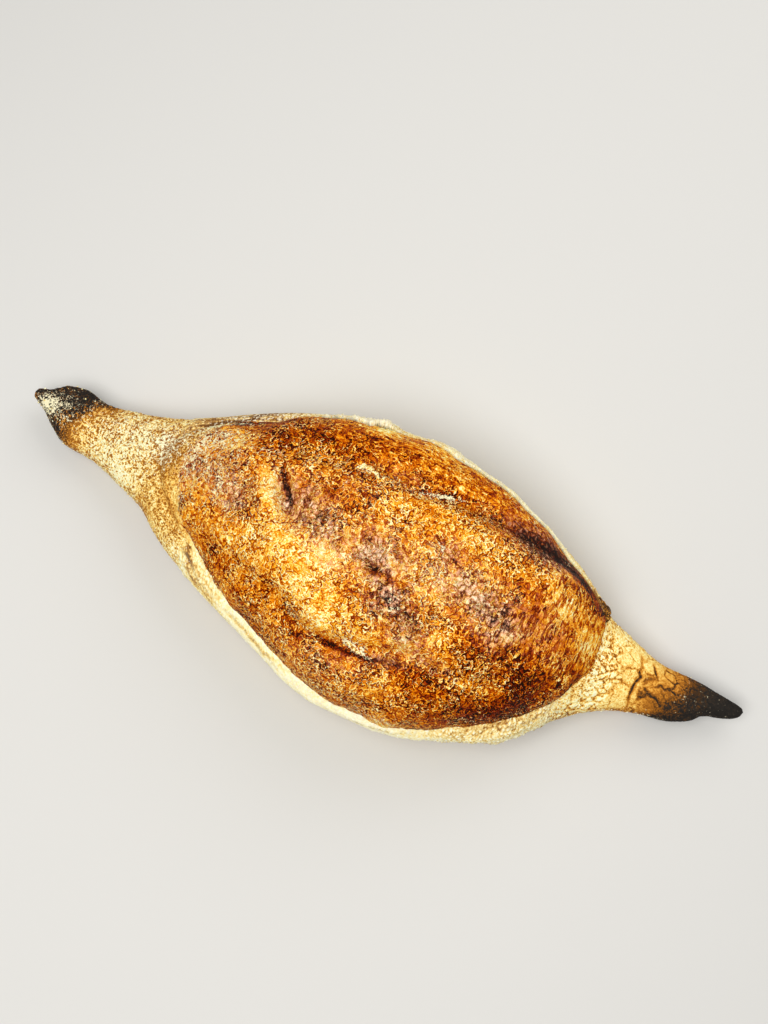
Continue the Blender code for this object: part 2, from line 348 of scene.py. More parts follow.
form = {
    # outlines seen from above: (share of the length, share of half the width)
    "skinBack": [
        (0, 0.21), (0.003, 0.235), (0.017, 0.27), (0.042, 0.36), (0.062, 0.38), (0.096, 0.34), (0.13, 0.365),
        (0.188, 0.435), (0.238, 0.545), (0.288, 0.685), (0.346, 0.83), (0.413, 0.95), (0.48, 1),
        (0.545, 0.98), (0.608, 0.915), (0.683, 0.77), (0.754, 0.59), (0.786, 0.475), (0.8, 0.42),
        (0.83, 0.36), (0.896, 0.27), (0.925, 0.275), (0.958, 0.255), (0.985, 0.235), (0.997, 0.222),
        (1, 0.2),
    ],
    "skinFront": [
        (0, 0.21), (0.003, 0.175), (0.017, 0.13), (0.042, 0.02), (0.067, -0.06), (0.104, -0.075),
        (0.158, -0.17), (0.196, -0.25), (0.229, -0.38), (0.267, -0.5), (0.317, -0.625), (0.367, -0.73),
        (0.417, -0.838), (0.467, -0.945), (0.507, -0.992), (0.57, -1), (0.615, -0.965), (0.658, -0.875),
        (0.7, -0.78), (0.728, -0.715), (0.76, -0.545), (0.792, -0.37), (0.829, -0.223), (0.875, -0.123),
        (0.912, -0.085), (0.942, -0.01), (0.954, 0.055), (0.983, 0.112), (0.997, 0.16), (1, 0.2),
    ],
    "domeBack": [
        (0.21, 0.65), (0.271, 0.715), (0.313, 0.768), (0.354, 0.848), (0.417, 0.941), (0.479, 0.978),
        (0.533, 0.985), (0.588, 0.93), (0.633, 0.86), (0.679, 0.764), (0.729, 0.64), (0.771, 0.52),
        (0.788, 0.44), (0.798, 0.31),
    ],
    "domeFront": [
        (0.21, -0.37), (0.271, -0.49), (0.313, -0.578), (0.354, -0.672), (0.417, -0.785), (0.479, -0.89),
        (0.533, -0.962), (0.588, -0.952), (0.633, -0.885), (0.679, -0.745), (0.729, -0.568), (0.771, -0.365),
        (0.798, -0.14),
    ],
    # seen from the side: (share of the length, share of the height)
    "underside": [
        (0, 0.155), (0.003, 0.135), (0.017, 0.1), (0.042, 0.055), (0.092, 0.02), (0.14, 0), (0.83, 0),
        (0.875, 0.012), (0.917, 0.04), (0.954, 0.075), (0.997, 0.125), (1, 0.14),
    ],
    "girth": [
        (0, 0.165), (0.06, 0.15), (0.13, 0.17), (0.183, 0.21), (0.233, 0.26), (0.3, 0.32), (0.383, 0.355),
        (0.48, 0.37), (0.575, 0.37), (0.658, 0.355), (0.725, 0.315), (0.775, 0.25), (0.825, 0.19),
        (0.917, 0.14), (1, 0.148),
    ],
    "skinTop": [
        (0, 0.175), (0.003, 0.2), (0.017, 0.225), (0.042, 0.26), (0.092, 0.275), (0.133, 0.32), (0.183, 0.4),
        (0.233, 0.475), (0.3, 0.515), (0.48, 0.53), (0.658, 0.52), (0.725, 0.5), (0.775, 0.44),
        (0.825, 0.345), (0.875, 0.285), (0.917, 0.25), (0.954, 0.215), (0.997, 0.18), (1, 0.16),
    ],
    "crest": [
        (0.21, 0.65), (0.238, 0.68), (0.271, 0.76), (0.333, 0.86), (0.396, 0.935), (0.458, 0.98), (0.521, 1),
        (0.625, 0.963), (0.688, 0.918), (0.729, 0.867), (0.75, 0.815), (0.771, 0.74), (0.798, 0.6),
    ],
    "skinSquareness": [(0, 2), (0.2, 2.2), (0.35, 3), (0.7, 3), (0.83, 2.2), (1, 2)],
    "bellySquareness": 2.6,
    "bellyPress": 1.09,
    "domeSquareness": 2.35,
    "nose": (2.5, 7.0),  # how blunt the dome's left and right ends are, from above
    "brow": (2.5, 3.0),  # the same, from the side
    "domeFoot": 0.14,
    "lipRoom": 0.5,  # what the torn lips may add on each side
    # lumps and hollows of the dome: place, half length, half width, height, turn
    "lumps": [
        (84, 5, 10, 4, 2.4, -52), (100, 6, 9, 6, -1.9, -20), (69, 13, 10, 7, 1.4, 20),
        (99, -9, 15, 8, 1.5, -12), (111.5, -20.5, 6, 5.5, 1.8), (119, -2.5, 7, 5, -1.4, -20),
        (131.5, -9.5, 9.5, 8.5, 2.2), (146, 5, 18, 9, 0.6, -8), (147, 16.5, 14, 6, 1.1, -5),
        (172, 9, 11, 8, 1.2, -25), (131, -33, 26, 6, 1.6, 4), (163, -25, 12, 5, 1.2, 38),
        (112, 31.5, 30, 6, 1.5, 4),
    ],
    # folds of the dome: height, half width, line
    "folds": [
        (-2.6, 3.2, [(67, -13), (83, -17), (97, -20), (109, -26), (117, -27.5), (126, -26), (134, -24),
            (140, -22), (152, -21), (166, -20)]),
        (-2.2, 3, [(78, 18), (92, 21), (106, 24.5), (118, 24.5), (127, 24), (134, 26), (141, 26.5), (152, 26),
            (162, 25.5), (171, 25), (180, 21.5), (188, 18)]),
        (-4, 2.7, [(87, 13), (90, 7.5), (94, 2.5), (97, 0)]),
        (-1.3, 1.8, [(116, -0.5), (122, -3), (129, -3.5)]),
    ],
    # slow waves: along the length, round the section, phase, height
    "skinWaves": [(5.3, 3, 0.4, 0.28), (9.1, 2, 2.1, 0.22), (13.7, 5, 4.4, 0.16)],
    "domeWaves": [(7.7, 3, 1.3, 0.4), (12.3, 5, 3.7, 0.3), (17.9, 4, 5.2, 0.22)],
}


# The middle of an outline and half its width at each share of the length.
def edges(back, front, share):
    a, b = (curve(form[name], share) * (rollWidth / 2 - form["lipRoom"]) for name in (back, front))
    return (a + b) / 2, (a - b) / 2


def heightAt(name, share):
    return curve(form[name], share) * rollHeight


domeGirth = heightAt("girth", np.array(0.5))


# Distance from a section's centre to its edge: 1 over the root of order n of |cos/half|^n + |sin/rise|^n,
# with one rise and power above the girth and another below.
def oval(angle, half, up, down, powerUp, powerDown):
    above = np.sin(angle) >= 0
    rise, power = np.where(above, up, down), np.where(above, powerUp, powerDown)
    with np.errstate(divide="ignore"):  # an end of no width gives 0
        return (np.abs(np.cos(angle) / half) ** power + np.abs(np.sin(angle) / rise) ** power) ** (-1 / power)


# The sum of the slow waves at each share of the length and angle round the section.
def waves(table, share, angle):
    turn = 2 * np.pi * share
    return sum(size * np.sin(along * turn + around * angle + phase) for along, around, phase, size in table)


# The skin's surface: an oval of each section round its girth, pressed flat below.
def skinSurface(share, angle):
    middle, half = edges("skinBack", "skinFront", share)
    under, girth, top = (heightAt(name, share) for name in ("underside", "girth", "skinTop"))
    radius = oval(angle, half, top - girth, (girth - under) * form["bellyPress"],
                  curve(form["skinSquareness"], share), form["bellySquareness"])
    radius = radius + waves(form["skinWaves"], share, angle) * np.maximum(np.sin(angle), 0) ** 2
    height = np.maximum(girth + radius * np.sin(angle), under)
    return np.stack(np.broadcast_arrays(share * rollLength, middle + radius * np.cos(angle), height), -1)


# 1 over most of the dome, falling to 0 at its ends as (1 - |off|^n)^(1/n).
def endRounding(share, blunt):
    first, last = form["crest"][0][0], form["crest"][-1][0]
    off = np.clip((2 * share - first - last) / (last - first), -1, 1)
    power = np.where(off < 0, blunt[0], blunt[1])
    return np.maximum(1 - np.abs(off) ** power, 0) ** (1 / power)


# The dome's surface: an oval of each section round one girth, with its lumps, folds and waves.
def domeSurface(share, angle):
    middle, half = domeReach(share)
    brow = endRounding(share, form["brow"])
    rise = (heightAt("crest", share) - domeGirth) * brow
    radius = oval(angle, half, rise, form["domeFoot"] * rollHeight * brow, form["domeSquareness"], 2.0)
    x, y = share * rollLength, middle + radius * np.cos(angle)
    raised = spots(x, y, form["lumps"]) + strokes(x, y, form["folds"])
    raised = raised + waves(form["domeWaves"], share, angle)
    radius = radius + raised * np.clip(2.5 * np.sin(angle), 0, 1) * brow
    height = domeGirth + radius * np.sin(angle)
    return np.stack(np.broadcast_arrays(x, middle + radius * np.cos(angle), height), -1)


# How far the dome's foot stands out to each side at each share of the length.
def domeReach(share):
    middle, half = edges("domeBack", "domeFront", share)
    return middle, half * endRounding(share, form["nose"])


# The skin's height at a place seen from above, by the upper part of its oval.
def skinTop(x, y):
    share = x / rollLength
    middle, half = edges("skinBack", "skinFront", share)
    girth, top = heightAt("girth", share), heightAt("skinTop", share)
    power = curve(form["skinSquareness"], share)
    off = np.clip(np.abs(y - middle) / half, 0, 1)
    return girth + (top - girth) * (1 - off**power) ** (1 / power)


# The dome's height there in the same way, and outside its foot a slope that falls by 3 mm for each mm.
def domeTop(x, y):
    first, last = form["crest"][0][0] + 0.001, form["crest"][-1][0] - 0.001
    share = np.clip(x / rollLength, first, last)
    middle, half = domeReach(share)
    rise = (heightAt("crest", share) - domeGirth) * endRounding(share, form["brow"])
    off, power = np.abs(y - middle) / half, form["domeSquareness"]
    over = domeGirth + rise * (1 - np.minimum(off, 1) ** power) ** (1 / power)
    return over - 3 * np.maximum(off - 1, 0) * half - 3 * np.abs(x - share * rollLength)


# The fillet where dome and skin run into each other at the left: (w - gap)^2 / 4w, where w is its reach and
# gap the height between the two, for gaps under w.
def fillet(x, y):
    reach = 8.0 * (1 - ease(x - 0.35 * np.abs(y - 5), 52, 70)) + 1e-6
    gap = np.abs(domeTop(x, y) - skinTop(x, y))
    return np.maximum(reach - gap, 0) ** 2 / (4 * reach)


# How far outside the dome's foot a place is, seen from above.
def outside(x, y):
    share = np.clip(x / rollLength, form["crest"][0][0] + 0.001, form["crest"][-1][0] - 0.001)
    middle, half = domeReach(share)
    return np.abs(y - middle) - half


# Places along the length at even steps of the way round an outline, however blunt its ends are.
def evenShares(first, last, count, edge):
    fine = first + (last - first) * (1 - np.cos(np.linspace(0, np.pi, 6001))) / 2
    path = np.stack([fine * rollLength, *edge(fine)], -1)
    way = np.concatenate([[0], np.cumsum(np.linalg.norm(np.diff(path, axis=0), axis=1))])
    return np.interp(np.linspace(0, way[-1], count + 2)[1:-1], way, fine)


crust = {
    "rings": 384,
    "across": 246,
    "foot": 6,
    "topGap": 0.25,  # what the blisters may add to the height
    # size and height of its broad unevenness, its blisters, its fine blisters, its wrinkles, the lumps where
    # it comes out of the skin, and its grit
    "swell": (7.5, 0.35),
    "blister": (1.75, 0.15),
    "fine": (1.0, 0.07),
    "wrinkle": (2.9, 0.17),
    "footBumps": (4.2, 0.55),
    "grit": (0.9, 0.08),
    "lineDepth": 0.9,
    "underLip": 0.25,  # how much lower it lies under the back lip
    # the scorched blister, and where the crust is wrinkled: place, half length, half width, amount, turn
    "charred": [(131, -9.6, 7, 4.5, 1, -20)],
    "wrinkled": [
        (101, 5, 9, 5, 1, -35), (121, 1, 9, 6, 0.9, -12), (72, -17, 10, 2, 0.7, -38),
        (149, 2, 11, 5, 0.5, -8),
    ],
    # how baked each place is, beyond the usual: place, half length, half width, amount, turn
    "usual": 0.50,
    "baked": [
        (104, -9, 17, 9, -0.2, -18), (109, -5, 5, 4, -0.1), (103, -15.5, 4, 3, -0.12),
        (113, -21, 4.5, 4, -0.26), (107, -24, 3, 4, 0.14, 60), (109, -28, 5, 2, 0.14),
        (90, -5, 10, 6, -0.1, -10), (84, -3.5, 4, 3, 0.12), (80, -10, 9, 5, -0.1, -10),
        (79, -16, 5, 2.5, 0.14, -30), (88, -20, 3, 2.5, -0.08), (96, -17, 4, 3.5, 0.12),
        (102, -21, 4, 2.5, 0.06, -30), (96, -30, 6, 2, 0.12, -24), (87, 5, 8, 2.4, -0.26, -52),
        (82.5, 10.5, 3.5, 2.5, -0.12), (97, 4.5, 5, 3, 0.05, -20), (103.5, 12.5, 3, 2.5, 0.1),
        (97.5, 14, 3, 3, 0.06), (97, 21, 5, 3, -0.08), (84, 22, 12, 4, 0.2, 14), (102, 31, 26, 4, 0.09, 6),
        (102, 26, 12, 1.6, 0.07, -4), (124, 28, 6, 2.5, 0.06, -10), (121, 17, 8, 4, -0.1),
        (121, 9, 6, 4, -0.1), (116.5, -11, 4, 3.5, 0.12), (122, -16, 4, 3, -0.08),
        (130.5, -9.5, 7, 4.5, -0.06, -20), (139, 0, 6, 4, -0.13), (142, 17.5, 7, 3.5, -0.14),
        (139, 29, 6, 3, -0.08), (142, 30, 24, 4, 0.05, -22), (150, -25, 16, 4.5, 0.12),
        (145, -34, 8, 2.5, 0.08), (146, 3, 5, 3, -0.1), (147, -12.5, 3.5, 3, -0.16), (153, 0, 4, 3, -0.08),
        (160, 10, 7, 3, 0.09, -20), (152, 14, 12, 6, -0.08, -8), (156, -11, 5, 3, 0.14),
        (160.5, 0, 4, 3, 0.12), (166, -9.5, 5, 3.5, 0.17), (167, -1, 3, 2.5, -0.08),
        (169, -26, 7, 2.5, 0.18, 42), (174, -17, 7, 7, 0.4, 40), (171, 16, 5, 4, -0.12, -20),
        (177, 9, 4, 3.5, -0.16), (187, 7, 3.5, 5, -0.18), (166.5, 24.2, 8, 2.7, 0.46, -5),
        (154, 24.4, 6, 1.6, 0.16), (178, 21, 6, 1.8, 0.4, -24), (188, 18, 5, 4, 0.36),
        (163, -28, 14, 2.2, 0.24, 32), (66, 14, 8, 5, -0.06, 10), (70, 2, 6, 5, -0.12), (58, 1, 5, 5, -0.12),
        (70, 17, 5, 3, -0.1, 30), (72, 11, 2.5, 2, 0.08), (56, -7, 3, 7, 0.06, 20),
        (124, -30, 16, 5, -0.04, 4), (161, -20, 6, 2, -0.1, -6), (179, -5, 4, 3, -0.04),
        (103, 22, 5, 3, 0.08), (104, 26.5, 7, 2.5, 0.08), (112, 28.5, 5, 3, 0.08), (104, 11, 3, 3, 0.07),
        (77, 9, 4, 3, 0.11), (87, -8.6, 4, 3, 0.08), (91, -2, 3, 3, 0.09), (92.6, -22, 4, 3, 0.09),
        (71, 24.5, 5, 3, 0.08, 20), (64, 13, 5, 4, -0.09), (69, -8.6, 4, 4, -0.09), (71, -3, 4, 3, -0.08),
        (71, 17.5, 4, 3, -0.07), (118.5, -17.7, 4, 3, -0.07), (120, -21.5, 4, 2.5, -0.08),
        (119, 6, 4, 4, -0.1), (112, 3, 3, 3, -0.06), (130, 5, 5, 3.5, -0.08), (132, 9.6, 4, 3, -0.06),
        (145, -12, 4, 3, -0.09), (137.5, -21, 5, 2.5, -0.13), (129, -21.5, 4, 2.2, -0.1),
        (154, 2.5, 4, 3, -0.06), (173, -9, 4, 4, 0.08), (182, -9, 4, 4, 0.11), (181, -3, 4, 4, 0.07),
        (187.5, -6, 3, 4, 0.12), (162, -24, 5, 3, 0.08, 30), (156, -27, 5, 3, 0.07, 20),
        (146, -31, 6, 3, 0.08), (163, 19, 5, 2.5, 0.07), (166, 15, 4, 3, 0.06), (162, 3.5, 3, 3, 0.06),
        (174.5, 16.5, 4, 3, 0.07), (109, -10, 4, 3, -0.06), (190, 7, 2.5, 3, -0.08), (139, 21, 4, 2.5, 0.06),
        (158, 19.5, 3, 2, 0.06), (167, -19.5, 4, 2.5, -0.07), (117, 18, 4, 3, -0.1),
        (129, 21.5, 4, 2.5, -0.05), (103.5, -0.5, 3, 3, 0.05), (139.5, -17.5, 3, 3, -0.07),
        (134, -15, 3, 2.5, -0.07), (138.8, -8, 2.5, 3, -0.08), (143.5, -5.5, 3.5, 3, -0.08),
        (146, 16, 5, 4, -0.07), (160, 10.4, 4, 3, -0.05), (169.5, 14, 4, 3, -0.06), (175, 5, 4, 3, -0.05),
        (182, -6, 3, 3, -0.06), (188.7, 0, 3, 4, -0.08), (148.5, 22.4, 3, 2, -0.07), (94.3, -9, 4, 3, -0.06),
        (113, -15.6, 4, 3, -0.06), (133, -29, 4, 2.5, -0.07), (138.5, -31, 4, 3, -0.06),
        (151.5, -32.5, 4, 2, -0.07), (86.2, 7, 2, 3, -0.07), (90.8, 4.4, 2.5, 2.5, -0.09),
        (86, 12.5, 2.5, 2.5, -0.06), (59, 12, 4, 3, -0.07), (67, 0, 4, 4, -0.06), (71, 18, 4, 3, -0.05),
        (99, -25, 3, 2.5, -0.04), (126, -21.5, 3, 2, -0.06), (130.8, -9, 3, 2.3, 0.12, -20),
        # the spots that make the back rim paler, near y 35 to 44, are partly its flour and partly a painted
        # highlight on the lit edge
        (134.5, -0.4, 3, 2.5, -0.06), (112.5, -22, 2.5, 2, -0.08), (128, 38, 12, 2, -0.1),
        (129, 35.6, 9, 2.4, -0.12, -6), (107.5, 36.5, 5, 2.4, -0.24), (66, 21.5, 9, 2.5, 0.09, 22),
        (179.8, -17.6, 3, 3, -0.1), (104.8, -22.6, 3, 2, 0.08), (116.4, -10.3, 3, 2.5, 0.07),
        (66.5, -4.5, 3, 3, 0.06), (62, 7, 3, 3, 0.05), (86.2, 17.5, 3, 2.5, 0.07),
        (90.2, 4.2, 2.5, 2, -0.06), (91, -2.2, 3, 2.5, 0.06), (93.8, -29.2, 4, 1.8, 0.12, -26),
        (93.8, 15.9, 3, 2.5, 0.06), (94.1, 23, 4, 2.5, 0.06), (100.5, 2.1, 3, 2.5, 0.09),
        (101, -31, 4, 2, 0.09, -20), (104.8, -27.6, 3, 2, 0.07), (106.8, -21, 3, 2.5, 0.05),
        (109.8, 36.7, 5, 2.2, -0.1), (118.8, -7.7, 3, 2.5, 0.07), (125.6, -6.7, 3, 2.5, -0.1),
        (125.9, 7.2, 3, 3, 0.07), (126.2, -26.2, 3, 1.6, -0.1), (130.2, 29.9, 4, 3, -0.08),
        (134.8, 15.5, 3, 3, 0.06), (135.5, -11.4, 3, 2.5, -0.06), (137.3, -21.9, 3, 2.5, -0.06),
        (146.3, -12, 3, 3, -0.06), (147, -21, 3, 2, 0.07), (147, -30.5, 4, 2.5, 0.07),
        (154.5, 10.9, 3, 3, 0.08), (159.3, 13.6, 3, 2.5, 0.06), (165, 11, 4, 4, 0.08),
        (167.1, -20.6, 3, 2.5, -0.06), (167.5, -13.9, 3, 2.5, 0.05), (175, -23, 3, 2.5, 0.05),
        (178.7, -17.5, 3, 2.5, -0.06), (189, -5.9, 2.5, 3, 0.09), (94, 42.5, 7, 2, -0.08),
        (120, 26, 32, 6, 0.045), (174, 0, 16, 14, 0.035), (118, 33.3, 4, 2.5, -0.06),
        (96.6, 39.6, 4, 2, -0.06), (80, 28, 4, 2, 0.06, 20), (165.3, 16, 3, 2.5, 0.06),
        (154.5, 2, 3, 3, -0.05), (140, 33, 8, 4, 0.05, -10), (165, -18, 5, 4, -0.03),
        (142, -40, 7, 1.6, -0.14), (135.4, 0, 3, 2.5, -0.06), (93.4, -29.6, 4, 1.8, 0.08, -26),
        (104.5, 2, 5, 3, 0.09), (94.3, 9, 2.5, 2.5, 0.07), (119, -7.3, 3, 2.5, 0.06),
        (125.9, -6.8, 2.5, 2.5, -0.07), (139.5, 3, 3, 3, 0.06), (155, -22.4, 4, 2.5, 0.05),
        (161, -15, 4, 3, 0.06), (173.8, -9, 3, 3, 0.06), (94.3, 43.6, 5, 2, -0.1),
        (152.5, -10.4, 3, 3, 0.05), (156.6, 18.6, 3, 2.5, 0.05), (129.1, -25, 3, 1.5, -0.07),
        (110.8, -36, 5, 1.6, -0.08, -10), (61, 7, 3, 3, 0.06), (72.4, 11.9, 3, 3, 0.05),
        (188.8, -6.5, 2.5, 3, 0.1), (184.5, 16.4, 3, 2.5, 0.1), (174.5, 16.6, 3, 2.5, 0.08),
        (102, 18.6, 3, 2.5, 0.06), (92.5, 5.6, 2.5, 2.5, -0.08), (152, 25, 6, 1.6, -0.07),
        (85, -6.8, 3, 2.5, 0.06),
    ],
    # dark and pale lines: amount, half width, line
    "scorched": [
        (0.66, 1, [(86.6, 13.6), (88, 11.9), (90, 9.2), (91.8, 7), (94, 4.6)]),
        (0.52, 0.9, [(115.8, -25.9), (119, -26.4), (124.7, -26.3), (131.2, -26), (134, -25.2)]),
        (0.16, 1, [(133, -25.6), (137, -24.4), (144.6, -23), (150, -22.2)]),
        (0.3, 0.9, [(117.5, -1.6), (121.5, -2.3), (124.9, -3.3), (128.5, -4.5), (133, -4.4)]),
        (0.14, 0.9, [(135, -5.6), (138.2, -8.6), (139.6, -13.5)]),
        (0.26, 0.9, [(121, 23.6), (127, 23.2), (132, 25.4), (138, 27.2), (143, 27)]),
        (0.28, 1.1, [(64.8, -12.1), (70.9, -17), (76, -20.3), (83, -23.9)]),
        (0.16, 1.2, [(104, 19.6), (108, 19.6), (112, 19)]),
        (-0.22, 0.8, [(150.4, -18.1), (154.2, -20.3), (156.7, -21.6), (158.7, -21.2), (161, -20),
            (164.5, -20)]),
        (0.4, 0.45, [(139.9, 9.3), (142.3, 8.1), (144.4, 7.2)]),
        (0.3, 0.8, [(55.4, 12.8), (57.5, 18), (63.6, 21.8), (70, 23.8), (75, 26.8), (84, 29.8)]),
        (0.12, 1, [(53, 10), (53, 4.2), (54.5, -0.5), (57.5, -4.8), (61.5, -8), (66.5, -11.8)]),
        (0.26, 1.5, [(147.5, 24.8), (154, 25), (161, 24.4), (168, 23.8), (176, 22.2), (184, 19.8),
            (190, 17)]),
    ],
    # a grey film: a painted sheen where the light is reflected on the highest places, and the ash of the
    # scorched blister
    # painted sheen and grey ash: place, half length, half width, amount, turn
    "sheenAndAsh": [
        (123, 1, 9, 6, 0.85, -14), (150, 2, 13, 6, 0.75, -8), (131, -9.5, 7, 5, 1, -20),
        (139, -16, 5, 4, 0.5), (101, 5, 9, 5, 0.95, -35), (161, -3, 5, 6, 0.75, 20),
        (140, 10, 4, 3, 0.55, -40), (112, -4, 6, 5, 0.3), (76, 3, 7, 5, 0.35), (165, 24, 13, 4, 1.3, -5),
        (91.5, 7, 2.4, 6.5, 0.9, 42), (78, -1, 4, 4, 0.45), (137, -24, 6, 1.5, 0.8, 16),
        (148, -20, 6, 1.6, 0.35, -6), (60, 3, 5, 6, 0.25), (70, -17, 9, 1.6, 0.8, -38),
        (120, 24, 8, 3, 0.25), (172, 3, 10, 8, 0.24), (120, -31, 12, 5, 0.24, 4), (68, 8, 9, 8, 0.22),
        (110, 16, 8, 5, 0.12),
    ],
    # places where flour still clings
    "floured": [
        (108.5, 22.3, 3, 1.4, 0.5, -10), (135, 25.2, 3, 0.8, 0.3, 20), (138.4, 10.2, 1.8, 0.9, 0.5, -20),
        (58, 11, 7, 6, 0.44, 30), (52.5, 13.5, 3.4, 3.4, -0.3), (68, 9, 9, 6, 0.24), (56, 1, 5, 9, 0.62),
        (66, 16.5, 10, 3.4, 0.62, 18), (68, 4, 6, 3, 0.35, -10), (77, 2, 5, 2.4, 0.3, -30),
        (82, 16.5, 5, 1.6, 0.4, 10), (105.8, 16.5, 1, 3.4, 0.5), (71, -1, 3, 4, 0.42), (73, 12, 3, 3, 0.25),
        (128, 23.4, 4, 0.8, 0.6, 20), (134, 25.3, 4, 0.7, 0.55, 16), (127.5, -24.4, 5, 1.6, 0.75, -6),
        (123.5, -21.5, 2.5, 2.5, 0.35), (153, 3.2, 2, 1.1, 0.55, -20), (161, -2.4, 1, 2.6, 0.55, 30),
        (138, 10, 2.6, 0.9, 0.55, -30), (139, -39.6, 12, 1.5, 0.5, 2), (94, 43, 6, 1.4, 0.6),
        (62, -9, 1.4, 5, 0.4, 30), (131, -10, 5, 3, 0.36), (168, -27, 12, 1.2, 0.22, 36),
        (88, 4, 2, 5, 0.22, 42), (112.5, -22, 3, 1.4, 0.42), (78, 32, 22, 1.3, 0.36, 17),
        (110, 39, 16, 1.2, 0.36), (150, 33, 24, 1.1, 0.34, -22),
    ],
}


# How much the dome is stretched above its girth, so that its top with the blisters is as high as the roll.
everywhere = domeSurface(np.linspace(0.35, 0.7, 200)[:, None], np.linspace(0.6, 2.5, 200)[None, :])
domeStretch = (rollHeight - crust["topGap"] - domeGirth) / (everywhere[..., 2].max() - domeGirth)


# The dome's surface, stretched above its girth.
def stretchedDome(share, angle):
    grid = domeSurface(share, angle)
    height = grid[..., 2]
    grid[..., 2] = np.where(height > domeGirth, domeGirth + (height - domeGirth) * domeStretch, height)
    return grid


# The blisters of a pattern: 0 in the gap between two, 1 over each, and each one's own number.
def blisterTops(points, size, seed, gapWidth=0.42):
    near, second, own = blisters(points, size, seed)
    return np.clip((second - near) / gapWidth, 0, 1), own


# The crust: even rings along the stretched dome, moved outwards by its unevenness, folds, blisters and
# lines. How baked a place is: the usual, its spots and lines, and less on what stands out.
def makeCrust(material):
    cfg = crust
    first, last = form["crest"][0][0], form["crest"][-1][0]

    def outline(share):
        return domeReach(share)[1], (heightAt("crest", share) - domeGirth) * endRounding(share, form["brow"])

    share = evenShares(first, last, cfg["rings"], outline)[:, None]
    over = np.linspace(0, np.pi, cfg["across"], endpoint=False)
    under = np.pi + np.linspace(0, np.pi, cfg["foot"], endpoint=False)
    angle = np.concatenate([over - 0.1 * np.sin(2 * over), under])[None, :]
    grid = stretchedDome(share, angle)
    x, y = grid[..., 0].copy(), grid[..., 1].copy()
    grid[..., 2] += fillet(x, y)
    shown = ease(grid[..., 2], domeGirth - 1, domeGirth + 3)

    # blisters are drawn out across the roll towards the blunt end
    endward = ease(x - 0.6 * y, 152, 166) * ease(y, -13, -4)
    streaked = ease(y - 27 + 0.22 * np.maximum(x - 140, 0), -2, 4) * between(x, 84, 104, 178, 188)
    bend = drift(grid, 4.0, 61)
    curled = grid + 0.8 * bend
    size, height = cfg["blister"]
    plain = blisterTops(curled, size, 11)
    across = blisterTops(curled * np.array([1.15, 0.36, 0.5]), size * 0.85, 15)
    gap, own = (p + endward * (c - p) for p, c in zip(plain, across))
    gapFine, _ = blisterTops(curled + 0.4 * bend[..., ::-1], cfg["fine"][0], 23, 0.5)

    charred, wrinkled = spots(x, y, cfg["charred"]), spots(x, y, cfg["wrinkled"])
    swell = roughHills(grid, cfg["swell"][0], 5)
    folded = 1 - np.abs(roughHills(curled * np.array([1.25, 0.6, 0.9]), cfg["wrinkle"][0], 83, 2)) * 2.2
    raised = cfg["swell"][1] * swell + cfg["wrinkle"][1] * folded * (0.6 + 1.6 * wrinkled)
    footing = (1 - ease(grid[..., 2] - skinTop(x, y), 1.0, 5.0)) * ease(x, 60, 75)
    raised += cfg["footBumps"][1] * roughHills(grid, cfg["footBumps"][0], 95, 2) * footing
    raised += height * (np.sqrt(gap) - 0.6) * (0.5 + own) * (1 + 1.2 * charred)
    raised += cfg["fine"][1] * (gapFine - 0.5) + cfg["grit"][1] * roughHills(curled, cfg["grit"][0], 91, 2)
    lines = strokes(x, y, cfg["scorched"])
    raised -= cfg["lineDepth"] * np.clip(lines, -0.5, 1)
    floured = np.clip(spots(x, y, cfg["floured"]) + strokes(x, y, skin["flourLines"]), 0, 1)
    covered = (1 - ease(angle, 0.34, 0.46)) * between(x, 84, 92, 184, 189)  # by the back lip
    raised = raised * (1 - covered) - cfg["underLip"] * covered
    grid = grid + facing(grid) * (raised * shown)[..., None]
    grid[..., 2] = np.minimum(grid[..., 2], rollHeight - clearance)

    baked = cfg["usual"] + spots(x, y, cfg["baked"]) + lines
    baked += 0.07 * roughHills(grid, 9.0, 31) + 0.05 * hills(curled, 2.6, 37) - 0.06 * swell
    baked += 0.07 * (0.6 - gap) + 0.14 * (0.5 - own) * gap
    baked += 0.05 * (0.5 - gapFine) + 0.08 * hills(curled, 4.6, 39)
    baked += 0.34 * (0.42 - folded) * wrinkled + charred * (0.66 * (1 - gap) - 0.16)
    baked = np.where(baked > 0.86, 0.86 + (baked - 0.86) * 0.5, baked)
    # painted sheen on the highest places and the grey ash of the scorched blister, made patchy
    sheenAndAsh = np.clip(spots(x, y, cfg["sheenAndAsh"]), 0, 1) * np.clip(0.78 + 0.5 * hills(grid, 2.2, 43), 0, 1)

    # at its left end the crust goes over into the skin
    joined = 1 - ease(domeTop(x, y) - skinTop(x, y), 0.5, 7.0)
    joined *= 1 - ease(x - 0.25 * np.abs(y - 5), 54, 66)
    skinBaked, skinFloured, skinGrainy = skinLook(grid, 0 * x)

    tips = np.array([[first * rollLength, grid[0, :, 1].mean(), domeGirth],
                     [last * rollLength, grid[-1, :, 1].mean(), domeGirth]])
    values = {"baked": baked, "sheenAndAsh": sheenAndAsh, "floured": floured, "endward": endward, "streaked": streaked,
              "joined": joined, "skinBaked": skinBaked, "skinFloured": skinFloured, "skinGrainy": skinGrainy}
    return makeRings("burst_crust", grid, tips, values, material)
